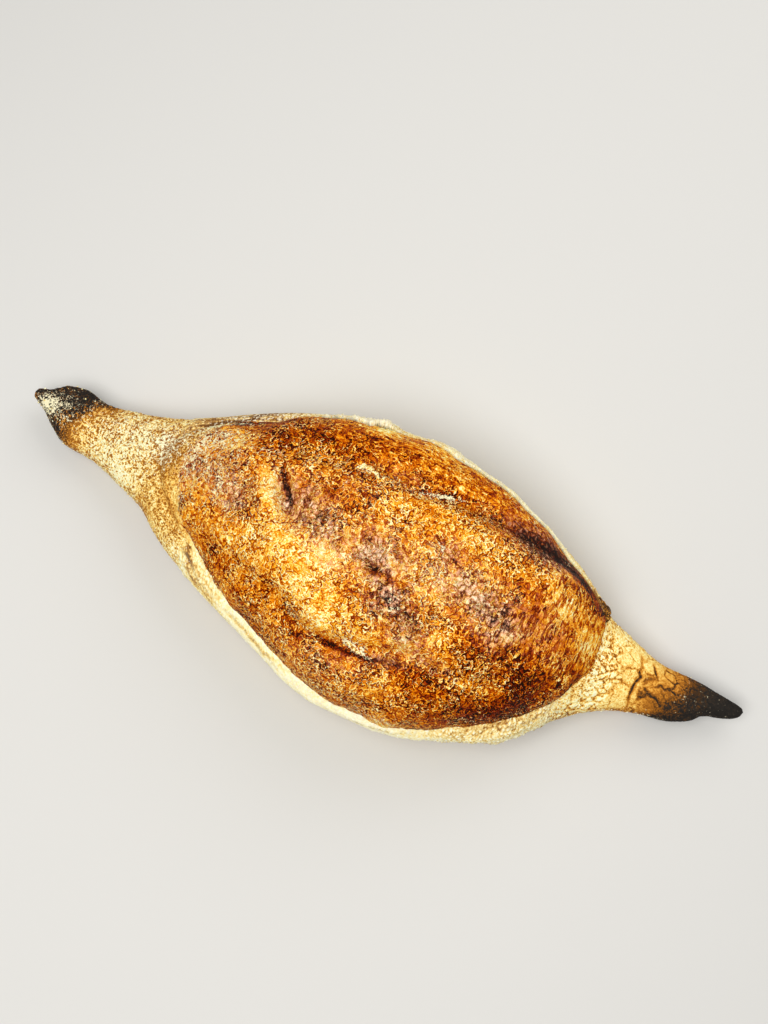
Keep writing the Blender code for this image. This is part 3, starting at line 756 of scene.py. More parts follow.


# The crust's colour and relief: a ramp from yellow to black by how baked it is and by curled threads,
# painted highlights with painted shade beside them, under the painted sheen, the grey ash and the flour.
def crustFinish():
    f = Finish("burst crust")
    place, sheenAndAsh = f.place(), f.layer("sheenAndAsh")

    # curled threads: painted highlights where a noise passes its middle, and painted shade close beside
    # them on the lower side
    plain = f.noise(f.warped(place, 1.3, 0.5), 1.3, 0.7)
    across = f.noise(f.warped(f.vector("MULTIPLY", place, (1.1, 0.34, 0.6)), 1.2, 0.4), 0.92, 1.0)
    blister = f.mix(f.layer("endward"), plain, across)
    small = f.noise(f.warped(place, 0.9, 0.4), 0.88, 0.7)
    broken = f.ease(f.noise(place, 2.2, 2.0), 0.36, 0.60)
    busy = f.add(0.62, f.ease(f.noise(place, 6.0, 2.0), 0.36, 0.62), 0.55)
    calm = f.math("MAXIMUM", f.layer("streaked"), f.times(f.layer("endward"), 0.7))
    lively = f.add(0.80, f.ease(f.layer("baked"), 0.28, 0.46), 0.32)
    busy = f.times(f.times(busy, lively), f.add(1.0, calm, -0.45))
    thread = f.times(f.curl(blister, 0.535, 0.055), broken)
    curl = f.times(f.curl(small, 0.535, 0.058), f.less(1.1, broken))
    highlightThreads = f.times(f.math("MAXIMUM", thread, curl), busy)
    shadeBesideThreads = f.math("MAXIMUM", f.curl(blister, 0.425, 0.07), f.times(f.curl(small, 0.42, 0.07), 0.7))
    shadeBesideThreads = f.times(shadeBesideThreads, busy)
    fine = f.noise(f.warped(place, 0.9, 0.4), 0.42, 3.0, 0.65)
    level = f.add(f.layer("baked"), f.centred(fine), 0.32)
    level = f.add(f.add(level, shadeBesideThreads, 0.38), highlightThreads, -0.48)
    patchy = f.noise(f.warped(place, 3.0, 1.2), 2.8, 2.0, 0.6)
    level = f.add(level, f.centred(patchy), 0.55)
    streak = f.noise(f.warped(f.vector("MULTIPLY", place, (0.24, 1.0, 0.9)), 2.0, 0.4), 0.8, 2.0)
    level = f.add(level, f.times(f.centred(streak), f.layer("streaked")), 1.1)
    drawn = f.times(f.centred(across), f.layer("endward"))
    level = f.less(f.add(level, drawn, -0.6), 0.018)
    colour = f.ramp(level, [
        (0.00, (255, 252, 196)), (0.12, (255, 236, 141)), (0.22, (254, 210, 94)), (0.32, (250, 179, 48)),
        (0.42, (236, 143, 8)), (0.50, (213, 112, 0)), (0.60, (184, 81, 0)), (0.70, (149, 47, 0)),
        (0.80, (107, 23, 0)), (0.90, (66, 12, 0)), (1.00, (32, 12, 5)),
    ])
    # under the painted sheen and the ash the blisters are plates with thin dark edges
    edge = f.edge(f.warped(place, 1.6, 0.6), 1.9)
    plate = f.add(f.layer("baked"), f.less(1.0, f.ease(edge, 0.02, 0.24)), 0.40)
    plate = f.add(plate, f.curl(across, 0.44, 0.07), 0.34)
    plate = f.add(f.add(plate, highlightThreads, -0.20), f.centred(fine), 0.80)
    plate = f.add(plate, f.less(patchy, 0.82), 0.4)
    sheenAshColour = f.ramp(plate, [
        (0.00, (255, 243, 230)), (0.25, (249, 213, 180)), (0.42, (223, 167, 130)), (0.55, (182, 128, 101)),
        (0.70, (134, 85, 62)), (0.85, (82, 51, 32)), (1.00, (36, 27, 24)),
    ])
    colour = f.blend(sheenAndAsh, colour, sheenAshColour)
    clump = f.noise(f.warped(place, 1.8, 0.9), 1.9, 2.0, 0.6)
    flour = f.layer("floured")
    flour = f.add(flour, f.times(f.centred(clump), flour), 3.0)
    cling = flourCover(f, place, f.add(flour, f.less(highlightThreads, 0.35), 0.6))
    colour = f.blend(cling, colour, (*tint(255, 242, 192), 1))
    skinned, skinHeight = skinColour(f, place, "skinBaked", "skinFloured", "skinGrainy")
    joined = f.ease(f.add(f.layer("joined"), f.centred(clump), 1.3), 0.30, 0.66)
    colour = f.blend(joined, colour, skinned)
    f.shade(Base_Color=colour, Specular_IOR_Level=0.02)
    f.shade(Roughness=f.add(f.add(f.add(0.30, fine, 0.22), cling, 0.35), joined, 0.3))
    height = f.add(f.add(f.less(fine, shadeBesideThreads), highlightThreads, 0.7), cling, 0.9)
    f.shade(Normal=f.bump(f.mix(joined, height, skinHeight), 0.16, 0.85))
    return f.material


skin = {
    "rings": [(0.7, 3.1, 0.4), (3.1, 62, 0.45), (62, 184, 0.98), (184, 226, 0.4), (226, 239.4, 0.4)],
    "overTop": 142,
    "wall": 43,
    "bottom": 14,
    "grain": (0.95, 0.16),  # size and height of its grains, and of the rest of its relief
    "uneven": (6.0, 0.22),
    "grit": (1.3, 0.10),
    "crumbly": (1.9, 0.40),
    "crackDepth": 0.40,
    "plates": (7.0, 0.07),  # of the crazed right neck: size, and width of the cracks as a share of it
    "net": (2.4, 0.15),
    "usual": 0.16,
    # how baked each place is, beyond the usual: place, half length, half width, amount, turn
    "baked": [
        (19, -3, 4, 2.5, 0.16, -20), (24, 14, 5, 2, 0.22, -10), (38, -5, 8, 3, -0.1, -20),
        (48, -7, 8, 4, 0.2, -38), (51, 2, 5, 9, 0.24), (58, 6, 8, 14, 0.3), (60, -13, 9, 4, 0.26, -38),
        (16.5, 9.8, 5, 4, 0.26), (48, 10, 5, 5, 0.28), (41, 14, 5, 4, 0.08), (19, 1, 4, 3, 0.1),
        (30, 10, 6, 4, 0.08), (189.5, -6.5, 2.5, 4, 0.22), (198.5, 0, 4, 4, -0.08), (44, 15, 5, 4, 0.08),
        (50, -6, 4, 4, -0.16), (195.5, -9, 5, 5, -0.2), (187.5, -15, 4, 4, -0.08),
        (206.5, -4.5, 4, 3, -0.17), (207.5, 5, 4, 3, -0.05), (201, 8, 4, 3, 0.04), (57.4, -8, 3, 3, -0.14),
        (49.6, 1.1, 3, 3, -0.06), (55, 19, 3.5, 2.4, 0.24), (70, -23, 6, 2.5, -0.22, -38),
        (203, 5, 5, 5, 0.07), (212, 4, 3, 3, 0.05), (200.7, -7.4, 3, 2.5, -0.06),
        (160, -36, 16, 5, 0.03, 14), (174, -29, 10, 4, 0.06, 38),
    ],
    # dark lines on it: amount, half width, line
    "scorched": [
        (0.3, 4.6, [(-1, 9), (2.5, 10), (6.8, 11.4), (10.4, 13), (14, 14.4), (17.3, 14.6), (21.6, 14),
            (26.5, 13.4)]),
        (0.24, 2.4, [(5, 4), (8.6, 2.8), (11.3, 0.6), (14.3, -1.4)]),
        (0.16, 1.1, [(51, 11.5), (50.3, 8), (50.5, 4.2), (52.5, -0.9), (55.8, -5.5), (59.8, -8.7),
            (65.2, -12.9), (70, -16.6)]),
        (0.1, 1.2, [(66, -17.5), (70, -19.8), (76, -23.2), (84, -27.6), (90, -30.4)]),
        (0.16, 0.8, [(52, 16.5), (56.1, 18.6), (59.9, 21.4), (64.5, 24.2), (68.2, 26.5), (76, 30.6)]),
    ],
    # along each neck the skin goes from pale to black: (place, amount)
    "leftBaked": [
        (-5, 0.64), (3, 0.62), (8, 0.58), (12, 0.6), (16, 0.48), (20, 0.28), (25, 0.12), (32, 0.04), (38, 0),
    ],
    "rightBaked": [
        (188, 0), (200, 0.06), (207, 0.18), (212, 0.34), (217, 0.5), (221, 0.66), (225, 0.74), (230, 0.8),
        (240, 0.84),
    ],
    # how much flour and semolina lies on each place
    "floured": [
        (32, 5, 11, 11, 0.5), (6, 6.4, 4, 2.8, 0.75, -20), (9, 7.5, 6, 5, 0.36, -20), (15, 6, 6, 7, 0.2),
        (44, 8, 8, 8, 0.5), (53, 10, 6, 10, 0.44), (52.5, 13.5, 3.4, 3.4, -0.3), (60, 20, 14, 3, 0.45, 38),
        (13, 12, 8, 4, 0.16), (228, 5, 14, 9, 0.3), (191, 2, 4, 14, 0.4), (180, -20, 10, 4, 0.45, 42),
        (66, -16, 8, 2, 0.1, -38), (71, -23, 8, 2.4, 0.6, -38), (80, 33, 26, 3, 0.5, 16),
    ],
    # thin lines of flour, also on the crust: amount, half width, line
    "flourLines": [
        (0.38, 0.6, [(57.9, -8.8), (62.6, -12.5), (67.9, -16), (73.1, -19.4), (78.7, -22.7)]),
        (0.5, 0.5, [(54.5, 18.3), (59, 21.9), (65, 25.6), (73, 29.6)]),
        (0.5, 0.5, [(57, 20.8), (63, 24.4), (70, 28)]),
        (0.5, 0.6, [(57, 17), (62, 20.3), (68, 23.4), (74, 26)]),
        (0.6, 0.5, [(126.5, 21.8), (129, 22.4), (131, 23.7), (134.8, 24.8), (139, 26)]),
        (0.6, 0.5, [(123.2, -24), (126, -24.2), (129, -25.2), (132, -25.6)]),
        (0.6, 0.5, [(189.5, 17), (195, 15.4), (201, 13.8), (208, 12.3)]),
    ],
    "walls": 0.50,  # the flour on the side walls
    # how rough with dark gaps between grains each place is
    "grainy": [
        (30, 5, 14, 14, 0.85), (8, 8, 9, 9, 0.9), (46, 4, 14, 14, 0.75), (60, 18, 16, 6, 0.7, 34),
        (62, -16, 12, 4, 0.7, -38), (172, -30, 16, 5, 0.6, 36), (192, 2, 5, 16, 0.6), (215, 2, 20, 12, 0.35),
        (182, -18, 8, 5, 0.7, 40), (213, 2, 7, 12, -0.28), (228, 6, 10, 8, -0.2),
    ],
    "cracks": [
        (1, 0.5, [(206.8, -5), (205.8, -3), (205.5, -0.3), (205.6, 2.2), (206.6, 4.3), (205.9, 5.7),
            (205.8, 7.3), (204.7, 10.5)]),
        (0.9, 0.45, [(209.1, 9.8), (210, 8.1), (211.6, 6.3)]),
        (0.35, 0.25, [(206.9, 4.5), (209, 5.5), (211.4, 5.7), (214, 6.9)]),
        (0.6, 0.35, [(200.6, 3.6), (201.5, 5.7), (204.2, 6.1), (205.9, 5.6)]),
        (0.6, 0.35, [(197.8, -0.1), (199.4, 1), (202.2, 1.1), (204.5, 0.5)]),
        (0.5, 0.35, [(210.2, 3.2), (213.7, 4.7), (216.5, 4.8), (219.2, 4.4)]),
        (0.6, 0.4, [(192.7, 14.7), (194.3, 11.7), (194.3, 8.8), (195.9, 7.9)]),
    ],
}


# The colour and flour that any part of the skin has at a place: how baked, how floured and how grainy it is.
def skinLook(grid, wall):
    cfg = skin
    x, y = grid[..., 0], grid[..., 1]
    baked = cfg["usual"] + spots(x, y, cfg["baked"]) + strokes(x, y, cfg["scorched"])
    baked += curve(cfg["rightBaked"], x - 0.6 * (y - 3)) + curve(cfg["leftBaked"], x - 0.25 * (y - 5))
    baked += 0.05 * roughHills(grid, 8.0, 51)
    veined = between(x, 24, 36, 60, 72)
    baked += veined * 0.30 * np.clip(roughHills(grid * np.array([0.8, 1.3, 1.0]), 5.0, 53) + 0.05, -0.1, 1)
    # only the ends are scorched
    baked = np.minimum(baked, 0.58 + 0.5 * (1 - between(x, 20, 30, 200, 212)))
    floured = np.clip(spots(x, y, cfg["floured"]) + strokes(x, y, cfg["flourLines"]), 0, 1)
    floured = np.maximum(floured, cfg["walls"] * wall * between(x, 3, 10, 212, 224))
    grainy = np.clip(0.12 + spots(x, y, cfg["grainy"]) + 0.25 * wall, 0, 1)
    return baked, floured, grainy


# The skin: rings of its surface from its wall over its top and down again, closed by a flat bottom, moved
# outwards by its unevenness and grains, and inwards by its cracks.
def makeSkin(material):
    cfg = skin
    places = np.concatenate([np.arange(start, end, step) for start, end, step in cfg["rings"]])
    share = (places / rollLength)[:, None]
    under, girth = heightAt("underside", share), heightAt("girth", share)
    power = form["bellySquareness"]
    reach = edges("skinBack", "skinFront", share)[1] * (1 - form["bellyPress"] ** -power) ** (1 / power)
    corner = np.arctan2(girth - under, reach)
    over = np.linspace(0, np.pi, cfg["overTop"], endpoint=False)[None, :]
    crowding = 0.72 * between(share, 0.2, 0.3, 0.74, 0.8)
    over = over - crowding * np.sin(2 * over) / 2
    down = np.linspace(0, 1, cfg["wall"] + 1)[None, :]
    parts = [skinSurface(share, over), skinSurface(share, np.pi + corner * down)]
    back = skinSurface(share, -corner * down[:, :0:-1])
    across = np.linspace(0, 1, cfg["bottom"] + 2)[None, 1:-1, None]
    parts.append(parts[1][:, -1:] * (1 - across) + back[:, :1] * across)
    grid = np.concatenate(parts + [back], 1)
    x, y, z = grid[..., 0].copy(), grid[..., 1].copy(), grid[..., 2].copy()
    normal = facing(grid)

    wall = ease(-normal[..., 2], -0.75, -0.1)  # 0 on the top, 1 on the side walls and below
    lifted = ease(z, 0.0, 1.2)
    grid[..., 2] += fillet(x, y) * (1 - wall) * ease(z - girth, 0, 3)
    bend = drift(grid, 3.0, 71)
    gap, own = blisterTops(grid + 0.5 * bend, cfg["grain"][0], 17, 0.45)

    # the right neck is crazed: wide plates parted by cracks, and a fine net towards the dome
    (plateSize, plateWidth), (netSize, netWidth) = cfg["plates"], cfg["net"]
    plateGap = 1 - blisterTops(grid * np.array([1.0, 0.8, 1.0]) + 1.6 * bend, plateSize, 29, plateWidth)[0]
    netGap = 1 - blisterTops(grid + 0.8 * bend, netSize, 31, netWidth)[0]
    crack = np.clip(strokes(x, y + 0.6 * hills(grid, 1.3, 75), cfg["cracks"]), 0, 1)
    broken = np.clip(0.5 + 1.5 * hills(grid, 2.5, 78), 0, 1)
    crack = np.maximum(crack, plateGap * 0.6 * broken * between(x, 194, 202, 219, 228))
    netShare = between(x, 186, 190, 197, 203) + 0.30 * ease(x, 190, 198)
    crack = np.maximum(crack, netGap * 0.8 * netShare * np.clip(0.5 + hills(grid, 4.0, 77), 0, 1))
    crack *= ease(z - girth, -1.0, 2.5)

    baked, floured, grainy = skinLook(grid, wall)
    raised = cfg["uneven"][1] * roughHills(grid, cfg["uneven"][0], 41)
    raised += cfg["grain"][1] * (gap - 0.5) * (0.4 + own) * (0.2 + grainy)
    grit = cfg["grit"][1] * roughHills(grid, cfg["grit"][0], 45, 2) * (0.3 + grainy)
    raised += grit - cfg["crackDepth"] * crack
    crumbly = ease(-normal[..., 2], -0.8, -0.4) * between(x, 16, 30, 206, 214)
    raised += cfg["crumbly"][1] * np.abs(roughHills(grid, cfg["crumbly"][0], 48, 2)) * crumbly
    grid = grid + normal * (raised * lifted)[..., None]
    grid[..., 2] = np.maximum(grid[..., 2], under)
    baked += 0.10 * (0.6 - gap) * grainy + 0.62 * crack + 0.04 * hills(grid, 2.0, 47)
    baked += 0.12 * wall * ease(x, 12, 30)
    below = 1 - ease(z - under, 0.2, 5.0)
    baked += 0.28 * below * between(x, 20, 60, 180, 215)

    tips = np.array([[0.0, curve(form["skinBack"], 0.0) * rollWidth / 2, heightAt("girth", 0.0)],
                     [rollLength, curve(form["skinBack"], 1.0) * rollWidth / 2, heightAt("girth", 1.0)]])
    values = {"baked": np.clip(baked, 0, 1), "floured": floured, "grainy": grainy}
    return makeRings("floured_skin", grid, tips, values, material)


# Where flour clings: wherever its amount and a curled noise together pass a limit.
def flourCover(f, place, floured):
    dust = f.noise(f.warped(place, 0.9, 0.5), 0.75, 3.0, 0.6)
    dust = f.add(dust, f.less(f.noise(place, 2.6, 1.0), 0.5), 0.20)
    cover = f.less(f.add(dust, floured, 0.36), 0.69)
    return f.math("MULTIPLY", cover, 12.0, clamp=True)


# The skin's colour and relief: cream, browner in the hollows between its grains, scorched black, and floured.
def skinColour(f, place, *names):
    baked, floured, grainy = (f.layer(name) for name in names)
    blister = f.noise(f.warped(place, 1.0, 0.45), 1.0, 1.5)
    hollow = f.times(f.ease(f.math("ABSOLUTE", f.centred(blister)), 0.05, 0.20), grainy)
    curl = f.times(f.curl(blister, 0.5, 0.06), grainy)
    fine = f.noise(f.warped(place, 0.8, 0.4), 0.45, 3.0, 0.65)
    level = f.add(f.add(baked, hollow, 0.58), curl, -0.34)
    clump = f.less(f.noise(f.warped(place, 2.0, 1.0), 1.8, 2.0, 0.6), 0.5)
    level = f.add(level, f.times(clump, grainy), -1.15)
    level = f.add(level, grainy, 0.02)
    loud = f.add(0.25, grainy, 0.9)
    level = f.add(level, f.times(f.centred(fine), loud), 0.85)
    # where it isn't scorched, even its gaps are no darker than brown
    level = f.math("MINIMUM", level, f.add(0.66, f.ease(baked, 0.60, 0.88), 0.34))
    colour = f.ramp(level, [
        (0.00, (255, 252, 212)), (0.12, (255, 243, 172)), (0.26, (249, 217, 126)), (0.40, (230, 176, 80)),
        (0.52, (206, 138, 48)), (0.63, (164, 100, 28)), (0.73, (116, 70, 22)), (0.83, (66, 44, 24)),
        (0.93, (45, 39, 33)), (1.00, (34, 31, 28)),
    ])
    lying = f.add(floured, f.times(clump, floured), 1.8)
    cover = flourCover(f, place, f.add(lying, f.less(curl, 0.35), 0.5))
    pale = f.ramp(f.add(baked, f.times(floured, floured), -0.5), [
        (0.14, (255, 252, 204)), (0.34, (255, 246, 202)), (0.76, (246, 234, 194)), (0.90, (214, 200, 164)),
        (1.00, (130, 120, 106)),
    ])
    height = f.add(f.add(f.less(fine, hollow), curl, 0.5), cover, 0.8)
    return f.blend(cover, colour, pale), height


# The skin's finish: its colour and relief, fully matt.
def skinFinish():
    f = Finish("floured skin")
    place = f.place()
    colour, height = skinColour(f, place, "baked", "floured", "grainy")
    f.shade(Base_Color=colour, Specular_IOR_Level=0.06, Roughness=0.72)
    f.shade(Normal=f.bump(height, 0.12, 0.9))
    return f.material


# The torn skin is paler than its outside, and the crevices where its layers end get a painted grey shade.
def tornFinish():
    f = Finish("torn skin")
    place, grainy = f.place(), f.layer("grainy")
    fine = f.noise(f.warped(place, 0.8, 0.4), 0.5, 3.0, 0.65)
    blister = f.noise(f.warped(place, 1.0, 0.45), 0.95, 1.5)
    hollow = f.times(f.less(1.0, f.ease(blister, 0.33, 0.50)), grainy)
    level = f.add(f.layer("baked"), hollow, 0.22)
    level = f.math("MINIMUM", f.add(level, f.centred(fine), 0.44), 0.74)
    colour = f.ramp(level, [
        (0.00, (255, 252, 226)), (0.12, (255, 248, 206)), (0.25, (252, 232, 160)), (0.38, (234, 194, 112)),
        (0.52, (184, 132, 66)), (0.66, (130, 84, 38)), (0.82, (84, 54, 28)), (1.00, (52, 38, 28)),
    ])
    broken = f.ease(f.noise(f.warped(place, 1.2, 0.4), 1.0, 2.0), 0.36, 0.56)
    stepShade = f.times(f.times(f.layer("paintedStepShade"), broken), 0.55)
    colour = f.blend(stepShade, colour, (*tint(150, 132, 100), 1))
    cover = flourCover(f, place, f.layer("floured"))
    powder = f.ramp(fine, [(0.32, (240, 218, 178)), (0.52, (255, 243, 210)), (0.7, (255, 250, 224))])
    colour = f.blend(cover, colour, powder)
    height = f.add(f.less(fine, hollow), cover, 0.8)
    skinned, skinHeight = skinColour(f, place, "skinBaked", "skinFloured", "skinGrainy")
    f.shade(Base_Color=f.blend(f.layer("joined"), colour, skinned), Specular_IOR_Level=0.06, Roughness=0.8)
    f.shade(Normal=f.bump(f.mix(f.layer("joined"), height, skinHeight), 0.11, 0.8))
    return f.material


# The skin's section angle where the dome comes out of it, from the outline upwards, by 500 steps.
def rimAngle(share, side):
    steps = np.linspace(-0.25, 1.5, 500)[None, :]
    place = skinSurface(share[:, None], steps if side > 0 else np.pi - steps)
    middle = domeReach(share[:, None])[0]
    off, rise = place[..., 1] - middle, place[..., 2] - domeGirth
    rise = np.where(rise > 0, rise / domeStretch, rise)
    dome = domeSurface(share[:, None], np.arctan2(rise, off))
    inside = np.hypot(dome[..., 1] - middle, dome[..., 2] - domeGirth) > np.hypot(off, rise)
    return steps[0, np.argmax(inside, axis=1)]


lips = {
    "step": 0.27,
    "across": 44,
    # dark lines along them: amount, half width, line
    "darkLines": [
        (0.36, 0.45, [(52, 15.5), (58, 19.6), (64, 23.2), (70, 26.4), (78, 30), (86, 33)]),
        (0.3, 0.4, [(56, 20.6), (63, 24.6), (70, 28), (77, 31.2)]),
        (0.26, 0.5, [(60, -12), (66, -16.6), (72, -20.6), (78, -23.8), (84, -26.6)]),
        (0.25, 0.4, [(88, -29.2), (96, -32.4), (104, -35.4), (113, -38.2)]),
    ],
    "clearOfDome": 0.05,  # how far, as an angle, a torn edge stays from the dome
    "under": 0.45,  # how deep each lip reaches into the surface it lies on
    # layers: how far across each ends, how much it falls there, and how far the end wanders
    "layers": [(0.22, 0.16, 0.06), (0.42, 0.2, 0.08), (0.62, 0.16, 0.07), (0.84, 0.2, 0.05)],
    # each by place along the length: thickness, crumbs, how baked and floured it is, and its edges as angles
    "front": {
        "thick": [
            (63, -0.25), (67, 0.2), (74, 0.55), (90, 0.85), (120, 0.8), (150, 0.7), (168, 0.95), (183, 0.75),
            (189, 0.1),
        ],
        "crumbs": [
            (63, 0.7), (72, 0.7), (84, 0.5), (92, 0.3), (140, 0.3), (152, 0.5), (165, 0.95), (189, 0.9),
        ],
        "baked": [
            (63, 0.2), (68, 0.14), (74, 0.14), (80, 0.15), (90, 0.08), (120, 0.08), (136, 0.02), (142, 0),
            (150, 0.05), (160, 0.07), (170, 0.09), (180, 0.1), (189, 0.1),
        ],
        "floured": [
            (63, 0.1), (74, 0.2), (84, 0.26), (95, 0.26), (140, 0.45), (150, 0.28), (160, 0.16), (189, 0.2),
        ],
        "past": [(63, 0.15), (100, 0.22), (189, 0.2)],
    },
    "backLeft": {
        "thick": [(46, 0.05), (54, 0.35), (66, 0.6), (80, 0.7), (90, 0.5), (95, 0.1)],
        "crumbs": [(46, 0.8), (95, 0.8)],
        "baked": [(46, 0.3), (56, 0.36), (66, 0.2), (77, 0.26), (86, 0.18), (95, 0.16)],
        "floured": [(46, 0.35), (56, 0.26), (66, 0.46), (95, 0.45)],
        "past": [(46, 0.1), (95, 0.15)],
    },
    "back": {
        "thick": [
            (84, 0.1), (88, 0.7), (93, 0.9), (98, 1.2), (101, 1.4), (104, 1.75), (107, 1.9), (110, 1.2),
            (113, 0.35), (120, 0.4), (123, 0.7), (132, 0.8), (150, 0.7), (170, 0.6), (180, 0.5), (188, 0.25),
        ],
        "crumbs": [(84, 0.6), (96, 0.9), (108, 0.9), (114, 0.6), (135, 0.5), (188, 0.35)],
        "baked": [
            (84, 0.14), (91, 0.14), (96, 0.06), (99, 0), (108, 0), (115, 0.22), (121, 0.22), (130, 0.08),
            (160, 0.06), (178, 0.2), (188, 0.5),
        ],
        "floured": [(84, 0.35), (98, 0.7), (110, 0.7), (114, 0.35), (125, 0.5), (180, 0.4), (188, 0.2)],
        "past": [(84, 0.34), (140, 0.34), (188, 0.3)],
        "blunt": 9.0,  # its right end doesn't fade into the skin
        "top": [
            (84, 0.24), (91, 0.3), (97, 0.4), (104, 0.48), (108, 0.5), (113, 0.42), (122, 0.44), (132, 0.42),
            (150, 0.36), (170, 0.31), (188, 0.34),
        ],
    },
}


# A lip: a sheet on a surface between two section angles. It stands off by its thickness, which falls from
# layer to layer, and is closed by an underside within the surface. u goes from its torn edge, 0, to its
# outer edge, 1.
def makeLip(name, cfg, surface, places, first, last, material):
    share = (places / rollLength)[:, None]
    along = places[:, None]
    u = np.linspace(0, 1, lips["across"])[None, :] ** 0.9
    thread = np.stack([places, 0 * places, 0 * places], -1)
    ragged = 0.06 * hills(thread, 3.1, 201) + 0.045 * hills(thread, 0.9, 202)
    first = first + (first - last) * ragged * curve(cfg["crumbs"], places)
    angle = first[:, None] + (last - first)[:, None] * u
    grid = surface(share, angle)
    flip = first[0] > last[0]
    normal = facing(grid, wraps=False) * (-1 if flip else 1)

    thick, crumbs = curve(cfg["thick"], along), curve(cfg["crumbs"], along)
    fall, stepShade = np.zeros(grid.shape[:2]), np.zeros(grid.shape[:2])
    for k, (end, drop, wander) in enumerate(lips["layers"]):
        shifted = end + wander * (hills(thread, 11.0, 210 + k) + 0.35 * hills(thread, 1.7, 220 + k))[:, None]
        strength = np.clip(0.65 + 0.8 * hills(thread, 14.0, 230 + k), 0, 1)[:, None]
        fall += drop * strength * ease(u, shifted, shifted + 0.035)
        # a painted shade in the crevice just past each layer's end
        stepShade += strength * np.exp(-(((u - shifted - 0.03) / 0.028) ** 2))
    edge = np.sqrt(ease(u, 0.0, 0.05)) * (1 - ease(u, 0.94, 1.0))
    bend = drift(grid, 2.0, 241)
    lump, own = blisterTops(grid + 0.4 * bend, 1.05, 245, 0.5)
    lift = thick * (1 - fall) * (1 + 0.25 * hills(grid, 3.0, 247)) + 0.40 * crumbs * hills(grid, 2.4, 253)
    lift = lift + crumbs * 0.60 * (lump - 0.6) * (0.4 + own) + 0.05 * hills(grid, 0.8, 249)
    lift = lift + 0.7 * crumbs * np.clip(hills(grid, 1.6, 259), 0, 1) * ease(u, 0.45, 0.85)
    lift = lift * edge - lips["under"] * (1 - edge)
    top = grid + normal * lift[..., None]
    bottom = grid - normal * lips["under"]

    wall = ease(-normal[..., 2], -0.75, -0.1)
    wandering = along + 4.0 * roughHills(grid, 5.0, 257)
    baked = curve(cfg["baked"], wandering) * (1 - 0.7 * ease(u, 0.40, 0.75))
    baked = baked + 0.05 * roughHills(grid, 5.0, 251)
    baked = baked + strokes(grid[..., 0], grid[..., 1] + 0.5 * hills(grid, 1.6, 255), lips["darkLines"])
    baked = baked + 0.17 * crumbs * (1 - ease(u, 0.08, 0.45)) * ease(along, 100, 150)
    # near the left neck a brown line leaves the torn edge and runs outward
    outward = ease(along, 67, 73)
    brown = np.exp(-(((u - 0.08 - 0.34 * outward) / 0.11) ** 2)) * between(along, 56, 62, 78, 92)
    baked = baked + (0.62 - 0.34 * outward) * crumbs * brown
    baked = baked + 0.10 * stepShade + 0.50 * crumbs * (0.55 - lump) + 0.12 * crumbs * (own - 0.5)
    floured = curve(cfg["floured"], wandering)
    grainy = np.clip(0.10 + 0.75 * crumbs + 0 * baked, 0, 1)
    ends = np.minimum(along - places[0], places[-1] - along + cfg.get("blunt", 0.0))
    ends = ends + 3.0 * hills(grid, 3.0, 267)
    joined = 1 - (1 - ease(u + 0.22 * roughHills(grid, 2.6, 265), 0.54, 0.86)) * ease(ends, 0.5, 6.5)
    skinBaked, skinFloured, skinGrainy = skinLook(grid, wall)
    ring = np.concatenate([top, bottom[:, ::-1]], 1)
    values = {"baked": np.clip(baked, 0, 1), "floured": floured, "grainy": grainy,
              "paintedStepShade": np.clip(stepShade, 0, 1), "joined": joined,
              "skinBaked": skinBaked, "skinFloured": skinFloured, "skinGrainy": skinGrainy}
    values = {key: np.concatenate([value, value[:, ::-1]], 1) for key, value in values.items()}
    if flip:
        ring = ring[:, ::-1]
        values = {key: value[:, ::-1] for key, value in values.items()}
    return makeRings(name, ring, np.stack([ring[0].mean(0), ring[-1].mean(0)]), values, material)


# The three lips, each from its torn edge, clear of the dome, to a little past the outline.
def makeLips(material):
    kinds = [("front_lip", "front", skinSurface), ("back_left_lip", "backLeft", skinSurface),
             ("back_lip", "back", stretchedDome)]
    made = []
    for name, key, surface in kinds:
        cfg = lips[key]
        places = np.arange(cfg["thick"][0][0], cfg["thick"][-1][0], lips["step"])
        share = places / rollLength
        side = -1 if key == "front" else 1
        torn = curve(cfg["top"], places) if "top" in cfg else rimAngle(share, side) + lips["clearOfDome"]
        outer = -curve(cfg["past"], places)
        if side < 0:
            torn, outer = np.pi - torn, np.pi - outer
        made.append(makeLip(name, cfg, surface, places, torn, outer, material))
    return made


flakes = {
    "step": 0.22,
    "across": 13,
    # each: line, half width, thickness, rise at its middle and at its left side, how baked, how floured
    "pieces": [
        ([(106.4, 21.6), (108, 22.9), (110, 22.9), (112, 22.2), (113.8, 20.7)],
            0.62, 0.25, 0.15, 0.15, 0.16, 0.3),
        ([(123.8, -24), (125.4, -24.2), (127.2, -24.9), (129.4, -25.3)], 0.4, 0.25, 0.12, 0.12, 0.34, 0.12),
        ([(184.6, 19.9), (187, 19), (189.2, 17.8), (190, 16.2), (189.9, 14.4)], 0.95, 0.6, 0.8, 0.9, 0.76, 0),
    ],
}


# The dome's surface at places seen from above: its section angle is found by halving 24 times.
def onDome(x, y):
    share = x / rollLength
    near, far = np.zeros_like(x), np.full_like(x, np.pi)
    for _ in range(24):
        angle = (near + far) / 2
        short = stretchedDome(share, angle)[..., 1] > y
        near, far = np.where(short, angle, near), np.where(short, far, angle)
    return stretchedDome(share, angle)


# The roll's surface there: the dome's, or outside its foot the skin's.
def onRoll(x, y):
    dome = onDome(x, y)
    there = np.abs(dome[..., 1] - y) < 0.05
    return np.stack([x, y, np.maximum(np.where(there, dome[..., 2], 0), skinTop(x, y))], -1)


